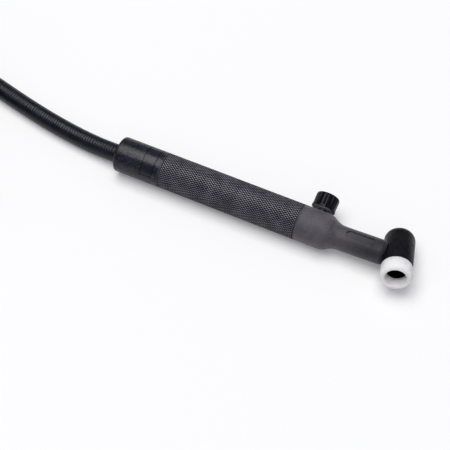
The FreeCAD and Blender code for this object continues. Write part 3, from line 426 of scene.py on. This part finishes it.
def foldPoints(start, way, side, radius, rise):  # control points of a half turn towards side, and its end
    end = start + side * radius * 2 + Vector((0, 0, rise))
    middle = (start + end) / 2
    back = start - middle
    ahead = way * back.length
    half = cable["perTurn"] // 2
    wider = 1 / math.cos(math.pi / cable["perTurn"])
    angles = [math.pi * (index + 0.5) / half for index in range(half)]
    points = [middle + (back * math.cos(angle) + ahead * math.sin(angle)) * wider for angle in angles]
    lead = way * back.length * math.tan(math.pi / cable["perTurn"])
    return [start - lead, *points, end - lead], end


def hankPoints():  # inwards on the ties, up the inner lane, and down the outer lane
    c = cable
    inner, outer = c["fold"], c["fold"] + c["lane"]
    between = (inner + outer) / 2
    climbs = c["layers"] - 1
    rear = [outer] + [inner] * c["layers"] + [outer] * climbs
    # The front folds: radius, steps outwards and rise.
    front = [(between, 1, 0)] + [(inner, 0, c["layer"])] * climbs
    front += [(between, 1, 0)] + [(outer, 2, -c["layer"])] * (climbs - 1)
    way, side = Vector((-1, 0, 0)), Vector((0, -1, 0))
    points = []
    end = Vector(c["route"][-1]) + way * (c["lead"] + c["run"] + c["step"] * 2)
    for radius, (turn, out, rise) in zip(rear, front):
        more, end = foldPoints(end, way, side, radius, 0)
        points += more
        end -= way * (c["run"] + c["step"] * out)
        more, end = foldPoints(end, -way, -side, turn, rise)
        points += more
        end += way * (c["run"] + c["step"] * out)
    more, end = foldPoints(end, way, side, rear[-1], 0)
    return points + more


def makeCable():
    data = bpy.data.curves.new("cableLine", "CURVE")
    data.dimensions = "3D"
    spline = data.splines.new("NURBS")
    points = [Vector(p) for p in cable["route"]] + hankPoints() + [Vector(p) for p in cable["tail"]]
    spline.points.add(len(points) - 1)
    for place, point in zip(spline.points, points):
        place.co = (*point, 1.0)
    spline.order_u = 3
    spline.use_endpoint_u = True
    data.resolution_u = cable["stepsAlong"]
    piece = bpy.data.objects.new("cableLine", data)
    scene.collection.objects.link(piece)
    bpy.context.view_layer.update()
    line = bpy.data.meshes.new_from_object(piece.evaluated_get(bpy.context.evaluated_depsgraph_get()))
    path = [tuple(v.co) for v in line.vertices]
    data.bevel_depth = cable["diameter"] / 2
    data.bevel_resolution = cable["roundness"]
    data.use_fill_caps = True
    pick(piece)
    bpy.ops.object.convert(target="MESH")
    piece = bpy.context.view_layer.objects.active
    bpy.ops.object.shade_smooth()
    around = 4 + 2 * cable["roundness"]  # vertices in a ring of the mesh
    travelled = [0.0]
    for first, second in zip(path, path[1:]):
        travelled.append(travelled[-1] + (Vector(second) - Vector(first)).length)
    along = piece.data.attributes.new("along", "FLOAT", "POINT")  # the ripples follow it
    for index, item in enumerate(along.data):
        item.value = travelled[min(index // around, len(travelled) - 1)]
    finish(piece, "powerCable", "cable_rubber", cableRubber, "cable_run", "cable_hank", "cable_tail")


strap = {
    "wall": 1.2 * mm,
    "round": 7.4 * mm,
    "roundSteps": 8,
    "edge": 0.35 * mm,
}


def makeStrap(name, node):  # a band round one side of the hank
    low, high = [Vector(corner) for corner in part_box(node)]
    s = strap
    middle = (low + high) / 2
    wall = Vector((0, 1, 1)) * s["wall"]
    room = high - low - wall * 2
    bpy.ops.mesh.primitive_cube_add(size=1, location=middle)
    piece = bpy.context.active_object
    piece.scale = room
    bake(piece)
    mesh = piece.data
    choose(piece, "FACE", lambda face: abs(face.normal.x) > 0.9)
    bpy.ops.mesh.delete(type="ONLY_FACE")

    def runsAlong(edge):
        first, second = [mesh.vertices[v].co for v in edge.vertices]
        return abs(first.x - second.x) > 1 * mm

    choose(piece, "EDGE", runsAlong)
    bpy.ops.mesh.bevel(offset=s["round"], segments=s["roundSteps"], affect="EDGES")
    bpy.ops.mesh.select_all(action="SELECT")
    bpy.ops.mesh.normals_make_consistent(inside=False)
    bpy.ops.object.mode_set(mode="OBJECT")
    shell = piece.modifiers.new("wall", "SOLIDIFY")
    shell.thickness = s["wall"]
    shell.offset = 1.0
    bpy.ops.object.modifier_apply(modifier="wall")
    soften(piece, s["edge"], angle=50)
    smooth(piece, angle=40)
    finish(piece, name, "strap_fabric", wovenStrap, node)


def turned(stations, sides, base, way):  # rings pulled along an axis; a station is (distance, radius)
    first, radius = stations[0]
    bpy.ops.object.select_all(action="DESELECT")
    bpy.ops.mesh.primitive_circle_add(vertices=sides, radius=radius, location=(0, 0, first))
    piece = bpy.context.active_object
    bpy.ops.object.transform_apply(location=True)
    bpy.ops.object.mode_set(mode="EDIT")
    bpy.ops.mesh.select_mode(type="VERT")
    bpy.ops.mesh.select_all(action="SELECT")
    place = first
    for distance, wanted in stations[1:] + [stations[0]]:
        bpy.ops.mesh.extrude_region_move(TRANSFORM_OT_translate={"value": (0, 0, distance - place)})
        if abs(wanted - radius) > tiny:
            scale = wanted / radius
            bpy.ops.transform.resize(value=(scale, scale, 1))
        place, radius = distance, wanted
    bpy.ops.mesh.select_all(action="SELECT")
    bpy.ops.mesh.remove_doubles(threshold=tiny)
    bpy.ops.mesh.normals_make_consistent(inside=False)
    bpy.ops.object.mode_set(mode="OBJECT")
    piece.matrix_world = aimed(base, way)
    bake(piece)
    return piece


def rounding(middle, radius, first, last, steps=6):  # stations on an arc; angles in degrees, 90 is outwards
    angles = [math.radians(first + (last - first) * step / steps) for step in range(steps + 1)]
    return [(middle[0] + radius * math.cos(angle), middle[1] + radius * math.sin(angle)) for angle in angles]


def bar(radius, start, end, base, way, sides=64):
    bpy.ops.object.select_all(action="DESELECT")
    bpy.ops.mesh.primitive_cylinder_add(
        vertices=sides, radius=radius, depth=end - start, location=(0, 0, (start + end) / 2))
    piece = bpy.context.active_object
    bpy.ops.object.transform_apply(location=True)
    piece.matrix_world = aimed(base, way)
    bake(piece)
    return piece


def carve(piece, tool, operation="DIFFERENCE"):
    boolean = piece.modifiers.new("carve", "BOOLEAN")
    boolean.operation = operation
    boolean.solver = "EXACT"
    boolean.object = tool
    pick(piece)
    bpy.ops.object.modifier_apply(modifier="carve")
    bpy.data.objects.remove(tool)
    clean(piece)


def clean(piece):  # slivers that a cut or a bevel leaves are merged
    sliver = 0.002 * mm
    pick(piece)
    bpy.ops.object.mode_set(mode="EDIT")
    bpy.ops.mesh.select_all(action="SELECT")
    bpy.ops.mesh.remove_doubles(threshold=sliver)
    bpy.ops.mesh.dissolve_degenerate(threshold=sliver)
    bpy.ops.object.mode_set(mode="OBJECT")


def soften(piece, width, segments=2, angle=35):
    bevel = piece.modifiers.new("bevel", "BEVEL")
    bevel.width = width
    bevel.segments = segments
    bevel.limit_method = "ANGLE"
    bevel.angle_limit = math.radians(angle)
    pick(piece)
    bpy.ops.object.modifier_apply(modifier="bevel")
    clean(piece)


def smooth(piece, angle=35):
    pick(piece)
    bpy.ops.object.shade_smooth_by_angle(angle=math.radians(angle))


makeStrap("farStrap", "far_hank_tie")
makeStrap("nearStrap", "near_hank_tie")
makeCable()
print("cable laid and tied")


grip = {
    "outer": 13.5 * mm,
    "bore": 11.0 * mm,
    "length": 110.0 * mm,
    "lap": 12.0 * mm,
    "lapRadius": 12.2 * mm,
    "edge": 0.2 * mm,
    "plain": 0.7 * mm,
    "groove": 0.42 * mm,
    "shoulder": 0.05 * mm,  # of the slope between the knurl and a plain edge
    "around": 46,  # the real knurl is a little finer; this is as fine as shows
    "rows": 40,
    "flank": 0.3 * mm,
    "crest": 0.4 * mm,
    "plainTone": 0.5,  # how much of the crests' grey the plain edges get, where a crest has 1
    "sag": 0.1 * mm,  # a diamond's middle lies inside the circle of its corners by less than this
}


def makeGrip():  # tube with a raised diamond knurl between two plain edges
    g = grip
    root = g["outer"] - g["groove"]
    front, rear = -g["plain"], -g["length"] + g["plain"]
    step = (front - rear) / g["rows"]
    rows = [(front - step * row, root) for row in range(g["rows"] + 1)]
    stations = [
        (-g["length"] - g["lap"], g["bore"]),
        (0, g["bore"]),
        (0, g["outer"] - g["edge"]),
        (-g["edge"], g["outer"]),
        (front + g["shoulder"], g["outer"]),
        *rows,
        (rear - g["shoulder"], g["outer"]),
        (-g["length"] + g["edge"], g["outer"]),
        (-g["length"], g["outer"] - g["edge"]),
        (-g["length"], g["lapRadius"]),
        (-g["length"] - g["lap"], g["lapRadius"]),
    ]
    piece = turned(stations, g["around"], handleFront, handleWay)
    mesh = piece.data
    count = len(mesh.vertices)

    def inBand(polygon, spare):
        spots = [mesh.vertices[v].co - handleFront for v in polygon.vertices]
        along = all(rear - tiny < spot.x < front + tiny for spot in spots)
        return along and all(abs(math.hypot(spot.y, spot.z) - root) < spare for spot in spots)

    choose(piece, "FACE", lambda face: inBand(face, tiny))
    bpy.ops.mesh.poke()
    bpy.ops.object.mode_set(mode="OBJECT")
    band = {v for polygon in mesh.polygons if polygon.select for v in polygon.vertices}

    def oldGrid(edge):  # these go, and leave the diamonds between the poked middles
        ends = [mesh.vertices[v].co.x - handleFront.x for v in edge.vertices]
        inside = all(v in band and v < count for v in edge.vertices)
        across = abs(ends[0] - ends[1]) < tiny
        last = min(abs(ends[0] - front), abs(ends[0] - rear)) < tiny
        return inside and not (across and last)

    choose(piece, "EDGE", oldGrid)
    bpy.ops.mesh.dissolve_edges(use_verts=False)
    bpy.ops.object.mode_set(mode="OBJECT")
    choose(piece, "FACE", lambda face: inBand(face, g["sag"]))
    bpy.ops.mesh.inset(thickness=g["flank"], depth=g["crest"], use_individual=True)
    bpy.ops.object.mode_set(mode="OBJECT")
    # The crests get the grey of wear and painted highlight, the plain edges a share of it, and the grooves
    # none.
    crest = mesh.attributes.new("crest", "FLOAT", "FACE")
    for polygon, item in zip(mesh.polygons, crest.data):
        place = polygon.center - handleFront
        edge = not rear < place.x < front and math.hypot(place.y, place.z) > g["outer"] - g["edge"]
        item.value = 1.0 if polygon.select else g["plainTone"] if edge else 0.0
    smooth(piece, angle=20)
    finish(piece, "knurledGrip", "knurled_phenolic", knurledPhenolic, "handle")


makeGrip()


collar = {
    "rear": -146.6 * mm,
    "front": -110.0 * mm,
    "lapStart": -122.0 * mm,
    "outer": 13.5 * mm,
    "bore": 11.0 * mm,
    "lapBore": 12.25 * mm,
    "round": 2.2 * mm,
    "mouth": 0.55 * mm,  # the rear end slopes in to the bore over this
    "edge": 0.1 * mm,
    "sides": 72,
    "seat": (-123.9 * mm, -113.9 * mm),  # the tape's place, from and to
    "seatDepth": 0.8 * mm,
    "seatFlank": 0.03 * mm,
    "bareFrom": 75.0,  # degrees from straight up, on the near side
    "bareTo": 145.0,
    "tapeGap": 0.4 * mm,
    "tapeUnder": 0.05 * mm,
    "tapeEdge": 0.05 * mm,
    "tapePlay": 1.8,  # degrees from each end to the bare stretch
    "tapeSteps": 87,
}


def fromTop(spot):  # degrees from straight up round the handle's axis, towards the near side
    return math.degrees(math.atan2(-(spot.y - handleFront.y), spot.z - handleFront.z)) % 360


def makeCollar():  # smooth collar with a rounded rear end and a shallow seat for the tape
    c = collar
    stations = [
        (c["rear"] + c["mouth"], c["bore"]),
        (c["lapStart"], c["bore"]),
        (c["lapStart"], c["lapBore"]),
        (c["front"], c["lapBore"]),
        (c["front"], c["outer"] - c["edge"]),
        (c["front"] - c["edge"], c["outer"]),
        (c["seat"][1], c["outer"]),
        (c["seat"][0], c["outer"]),
        *rounding((c["rear"] + c["round"], c["outer"] - c["round"]), c["round"], 90, 180),
    ]
    piece = turned(stations, c["sides"], handleFront, handleWay)
    start, end = [handleFront.x + place for place in c["seat"]]

    def underTape(face):
        spot = face.center
        wall = math.hypot(spot.y - handleFront.y, spot.z - handleFront.z) > c["outer"] - c["edge"]
        return wall and start < spot.x < end and not c["bareFrom"] < fromTop(spot) < c["bareTo"]

    choose(piece, "FACE", underTape)
    bpy.ops.mesh.inset(thickness=c["seatFlank"], depth=-c["seatDepth"])
    bpy.ops.object.mode_set(mode="OBJECT")
    smooth(piece, angle=30)
    finish(piece, "rearCollar", "satin_rubber", satinRubber, "rear_collar")


def makeTape():  # band that stops short of a full turn, its end on the near side
    c = collar
    inner, outer = c["outer"] - c["seatDepth"] + c["tapeUnder"], c["outer"]
    start, end = [handleFront.x + place for place in c["seat"]]
    width = end - start - c["tapeGap"] * 2
    middle = Vector(((start + end) / 2, handleFront.y, handleFront.z + (inner + outer) / 2))
    bpy.ops.object.select_all(action="DESELECT")
    bpy.ops.mesh.primitive_plane_add(size=1, location=middle, rotation=(math.pi / 2, 0, 0))
    piece = bpy.context.active_object
    piece.scale = (width, outer - inner, 1)
    bake(piece)
    turn = math.radians(360 - (c["bareTo"] - c["bareFrom"]) - c["tapePlay"] * 2)
    bpy.ops.object.mode_set(mode="EDIT")
    bpy.ops.mesh.select_all(action="SELECT")
    bpy.ops.mesh.spin(steps=c["tapeSteps"], angle=turn, center=handleFront, axis=(1, 0, 0))
    bpy.ops.mesh.select_all(action="SELECT")
    bpy.ops.mesh.remove_doubles(threshold=tiny)
    bpy.ops.mesh.normals_make_consistent(inside=False)
    bpy.ops.object.mode_set(mode="OBJECT")
    spin = Matrix.Rotation(math.radians(c["bareFrom"] - c["tapePlay"]), 4, "X")
    piece.matrix_world = Matrix.Translation(handleFront) @ spin @ Matrix.Translation(-handleFront)
    soften(piece, c["tapeEdge"], segments=1, angle=50)
    smooth(piece, angle=30)
    finish(piece, "seamTape", "band_tape", vinylTape, "seam_tape")


makeCollar()
makeTape()
print("collar and tape made")


sleeve = {
    "outer": 13.5 * mm,
    "land": 17.5 * mm,
    "slope": 14.5 * mm,
    "neck": 9.05 * mm,
    "bend": 34.0 * mm,
    "reach": 31.5 * mm,
    "nose": (3.4 * mm, 2.2 * mm),  # length and drop of the rounded front
    "spigot": (12.0 * mm, 10.95 * mm),  # length and radius of the plug in the handle
    "cavity": 9.2 * mm,
    "bore": 6.6 * mm,
    "saddle": 11.55 * mm,
    "hole": 6.2 * mm,
    "recessStart": 1.3 * mm,
    "recessLength": 22.4 * mm,
    "recessWidth": 6.4 * mm,
    "recessDepth": 1.9 * mm,
    "recessTool": 3.0 * mm,
    "edge": 0.35 * mm,
    "cutEdge": 0.25 * mm,
    "sides": 96,
}


def makeSleeve():  # plugs into the handle, necks down in an S curve, bends, and ends round the head
    s = sleeve
    foot = s["land"] + s["slope"]
    drop = s["outer"] - s["neck"]
    curve = (s["slope"] ** 2 + drop ** 2) / (drop * 4)
    swing = math.degrees(math.asin(s["slope"] / 2 / curve))
    tip = s["bend"] + s["reach"]
    length, depth = s["nose"]
    nose = [(tip - length + length * math.sin(angle), s["neck"] - depth + depth * math.cos(angle))
            for angle in [math.radians(step * 15) for step in range(7)]]
    stations = [
        (-s["spigot"][0], s["cavity"]),
        (s["land"], s["cavity"]),
        (foot, s["bore"]),
        (s["bend"], s["bore"]),
        (tip, s["bore"]),
        *reversed(nose),
        *[(s["bend"] + (tip - length - s["bend"]) * part / 4, s["neck"]) for part in (3, 2, 1, 0)],
        *reversed(rounding((foot, s["neck"] + curve), curve, -90 - swing, -90, 8)[1:]),
        *reversed(rounding((s["land"], s["outer"] - curve), curve, 90, 90 - swing, 8)),
        (s["edge"], s["outer"]),
        (0, s["outer"] - s["edge"]),
        (0, s["spigot"][1]),
        (-s["spigot"][0], s["spigot"][1]),
    ]
    piece = turned(stations, s["sides"], handleFront, handleWay)
    choose(piece, "VERT", lambda vertex: vertex.co.x > neckBend.x + tiny)
    bpy.ops.transform.rotate(value=neckTurn, orient_axis="Y", orient_type="GLOBAL", center_override=neckBend)
    bpy.ops.object.mode_set(mode="OBJECT")
    carve(piece, bar(s["saddle"], -toolReach, toolReach, headMiddle, headWay, sides=128))
    carve(piece, bar(s["hole"], s["bore"], toolReach, valveMiddle, valveWay))
    carve(piece, makeRecess())
    soften(piece, s["cutEdge"], angle=30)
    smooth(piece)
    finish(piece, "frontSleeve", "grey_nylon", greyNylon, "front_sleeve")


def makeRecess():  # long block with round ends, sunk into the top of the neck
    s = sleeve
    end = s["recessWidth"] / 2
    up = Vector((-math.sin(neckTurn), 0, math.cos(neckTurn)))
    height = s["recessTool"]
    bpy.ops.object.select_all(action="DESELECT")
    bpy.ops.mesh.primitive_cylinder_add(vertices=48, radius=end, depth=height)
    block = bpy.context.active_object
    choose(block, "VERT", lambda vertex: vertex.co.x > tiny)
    bpy.ops.transform.translate(value=(s["recessLength"] - s["recessWidth"], 0, 0))
    bpy.ops.object.mode_set(mode="OBJECT")
    lift = s["neck"] - s["recessDepth"] + height / 2
    place = neckBend + neckWay * (s["recessStart"] + end) + up * lift
    block.matrix_world = Matrix.Translation(place) @ Matrix.Rotation(-neckTurn, 4, "Y")
    bake(block)
    return block


makeSleeve()
print("sleeve made")


head = {
    "outer": 11.25 * mm,
    "back": -22.6 * mm,
    "dome": (5.8 * mm, 3.7 * mm),  # length and drop of the rounded back
    "front": 10.3 * mm,
    "lap": 12.9 * mm,
    "lapRadius": 9.3 * mm,
    "bore": 7.5 * mm,
    "coreBore": 7.2 * mm,
    "coreFrom": -16.6 * mm,
    "coreTo": 5.5 * mm,
    "stub": (8.0 * mm, 33.0 * mm),  # from and to, past the neck's bend
    "stubRadius": 6.55 * mm,
    "tube": 4.8 * mm,
    "edge": 0.15 * mm,
    "sides": 96,
}
ring = {
    "back": 10.3 * mm,
    "seat": 9.35 * mm,
    "seatEnd": 12.95 * mm,
    "front": 21.4 * mm,
    "bore": 7.5 * mm,
    "mouth": 7.85 * mm,
    "lip": 0.5 * mm,
    "round": 2.85 * mm,
    "edge": 0.2 * mm,
}


def makeHead():  # moulded cover with a stub that plugs into the sleeve
    h = head
    length, depth = h["dome"]
    tubeRun = 2 * mm  # past the stub's end, into the head
    dome = [(h["back"] + length - length * math.sin(angle), h["outer"] - depth + depth * math.cos(angle))
            for angle in [math.radians(step * 10) for step in range(10)]]
    stations = [
        (h["back"], h["bore"]),
        (h["coreFrom"], h["bore"]),
        (h["coreFrom"], h["coreBore"]),
        (h["coreTo"], h["coreBore"]),
        (h["coreTo"], h["bore"]),
        (h["lap"], h["bore"]),
        (h["lap"], h["lapRadius"]),
        (h["front"], h["lapRadius"]),
        (h["front"], h["outer"]),
        *dome,
    ]
    piece = turned(stations, h["sides"], headMiddle, headWay)
    carve(piece, bar(h["stubRadius"], *h["stub"], neckBend, neckWay), "UNION")
    carve(piece, bar(h["tube"], 0, h["stub"][1] + tubeRun, neckBend, neckWay))
    soften(piece, h["edge"], angle=40)
    smooth(piece)
    finish(piece, "headCover", "head_rubber", headRubber, "head_cover")


def makeRing():  # white ring with a thick rounded rim
    r = ring
    outer, lip = head["outer"], r["lip"]
    stations = [
        (r["back"], r["seat"]),
        (r["seatEnd"], r["seat"]),
        (r["seatEnd"], r["bore"]),
        (r["front"] - lip, r["mouth"]),
        *rounding((r["front"] - lip, r["mouth"] + lip), lip, -90, 0, 4)[1:],
        *rounding((r["front"] - r["round"], outer - r["round"]), r["round"], 0, 90, 8),
        (r["back"] + r["edge"], outer),
        (r["back"], outer - r["edge"]),
    ]
    piece = turned(stations, head["sides"], headMiddle, headWay)
    smooth(piece)
    finish(piece, "whiteRing", "white_ptfe", whitePtfe, "cup_gasket")


makeHead()
makeRing()
print("head made")


knob = {
    "base": 15.35 * mm,
    "height": 10.8 * mm,
    "foot": 9.0 * mm,
    "top": 8.75 * mm,
    "lip": 1.1 * mm,
    "lipSlope": 0.1 * mm,
    "step": 0.3 * mm,
    "round": 1.2 * mm,
    "wall": 1.3 * mm,
    "hollow": 0.4 * mm,
    "hub": 4.4 * mm,
    "bore": 2.05 * mm,
    "screwRoom": 2.7 * mm,
    "screwSeat": 8.5 * mm,
    "flutes": 12,
    "fluteRadius": 1.05 * mm,
    "fluteReach": 9.15 * mm,
    "fluteSides": 20,
    "edge": 0.15 * mm,
    "cutEdge": 0.22 * mm,
    "spare": 0.1 * mm,
    "sides": 96,
}


def makeKnob():  # fluted cap, hollow underneath, with a recess for its screw
    k = knob
    low = k["base"]
    high = low + k["height"]
    stations = [
        (low, k["foot"] - k["wall"]),
        (low + k["hollow"], k["foot"] - k["wall"]),
        (low + k["hollow"], k["hub"]),
        (low, k["hub"]),
        (low, k["bore"]),
        (low + k["screwSeat"], k["bore"]),
        (low + k["screwSeat"], k["screwRoom"]),
        (high, k["screwRoom"]),
        *rounding((high - k["round"], k["top"] - k["round"]), k["round"], 0, 90, 5),
        (low + k["lip"] + k["lipSlope"], k["foot"] - k["step"]),
        (low + k["lip"], k["foot"]),
        (low + k["edge"], k["foot"]),
        (low, k["foot"] - k["edge"]),
    ]
    piece = turned(stations, k["sides"], Vector((0, 0, 0)), Vector((0, 0, 1)))
    bpy.ops.object.select_all(action="DESELECT")
    bpy.ops.mesh.primitive_cylinder_add(
        vertices=k["fluteSides"], radius=k["fluteRadius"], depth=k["height"] * 2,
        location=(k["fluteReach"], 0, low + k["lip"] + k["height"]))
    flutes = bpy.context.active_object
    bpy.ops.object.transform_apply(location=True)
    bpy.ops.object.mode_set(mode="EDIT")
    bpy.ops.mesh.select_all(action="SELECT")
    for copy in range(k["flutes"] - 1):
        bpy.ops.mesh.duplicate()
        bpy.ops.transform.rotate(value=math.tau / k["flutes"], orient_axis="Z", center_override=(0, 0, 0))
    bpy.ops.object.mode_set(mode="OBJECT")
    carve(piece, flutes)
    soften(piece, k["cutEdge"], angle=32)
    piece.matrix_world = aimed(valveMiddle, valveWay)
    smooth(piece)
    finish(piece, "valveKnob", "knob_plastic", polishedPlastic, "valve_knob", body="valve_spindle")
    # The underside gets the grey of painted bounce light.
    piece.data.materials.append(litUndersidePlastic)
    rim = k["foot"] - k["wall"]
    for polygon in piece.data.polygons:
        spot = polygon.center - valveMiddle
        up = spot.dot(valveWay)
        out = (spot - valveWay * up).length
        under = polygon.normal.dot(valveWay) < -0.9 and out < rim
        inside = out < rim + k["spare"] and up < low + k["hollow"] + k["spare"]
        if under or inside:
            polygon.material_index = 1


makeKnob()
print("knob made")


finishes = {
    "head_core": blackenedBrass,
    "valve_gland": blackenedBrass,
    "stem_o_ring": nitrile,
    "neck_tube": drawnCopper,
    "tail_tube": drawnCopper,
    "valve_stem": platedSteel,
    "knob_screw": platedSteel,
}
for node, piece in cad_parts.items():
    dress(piece, finishes.get(node, turnedBrass))
print("nodes dressed")


stage = {
    "table": "ebebeb",
    "tableSize": 8.0,
    "tableDrop": 0.2 * mm,  # below the torch, so that they don't share a plane
    "glow": 0.18,  # what the camera sees on top, so that the table is white
    "sky": ("f0f0ff", 0.27),
    "key": {"place": (-1.0, 0.0, 5.4), "size": (4.8, 4.0), "power": 262.0, "colour": "fffffd"},
    "fill": {"place": (0.5, -1.0, 0.9), "size": (0.6, 0.6), "power": 0.5, "colour": "f4f6ff"},
}


def makeStage():
    bpy.ops.object.select_all(action="DESELECT")
    bpy.ops.mesh.primitive_plane_add(size=stage["tableSize"], location=(0, 0, -stage["tableDrop"]))
    table = bpy.context.active_object
    table.name = "table"
    material, tree, shader = newMaterial("paperTable", Roughness=0.9, Specular_IOR_Level=0.1)
    shader.inputs["Base Color"].default_value = hexColour(stage["table"])
    path = addNode(tree, "ShaderNodeLightPath")
    glow = addNode(tree, "ShaderNodeMath", {"operation": "MULTIPLY"}, {
        0: path.outputs["Is Camera Ray"], 1: stage["glow"]})
    shader.inputs["Emission Color"].default_value = hexColour("ffffff")
    tree.links.new(glow.outputs[0], shader.inputs["Emission Strength"])
    dress(table, material)
    for name in ("key", "fill"):
        facts = stage[name]
        data = bpy.data.lights.new(name, "AREA")
        data.shape = "RECTANGLE"
        data.size, data.size_y = facts["size"]
        data.energy = facts["power"]
        data.color = hexColour(facts["colour"])[:3]
        lamp = bpy.data.objects.new(name, data)
        scene.collection.objects.link(lamp)
        lamp.location = facts["place"]
        lamp.rotation_euler = (Vector((0, 0, 0)) - lamp.location).to_track_quat("-Z", "Y").to_euler()
    world = bpy.data.worlds.new("sky")
    world.use_nodes = True
    background = world.node_tree.nodes["Background"]
    background.inputs["Color"].default_value = hexColour(stage["sky"][0])
    path = addNode(world.node_tree, "ShaderNodeLightPath")
    level = addNode(world.node_tree, "ShaderNodeMapRange", {}, {  # the camera sees it white
        "Value": path.outputs["Is Camera Ray"], "To Min": stage["sky"][1], "To Max": 1.0})
    world.node_tree.links.new(level.outputs["Result"], background.inputs["Strength"])
    scene.world = world


makeStage()
print("stage lit")
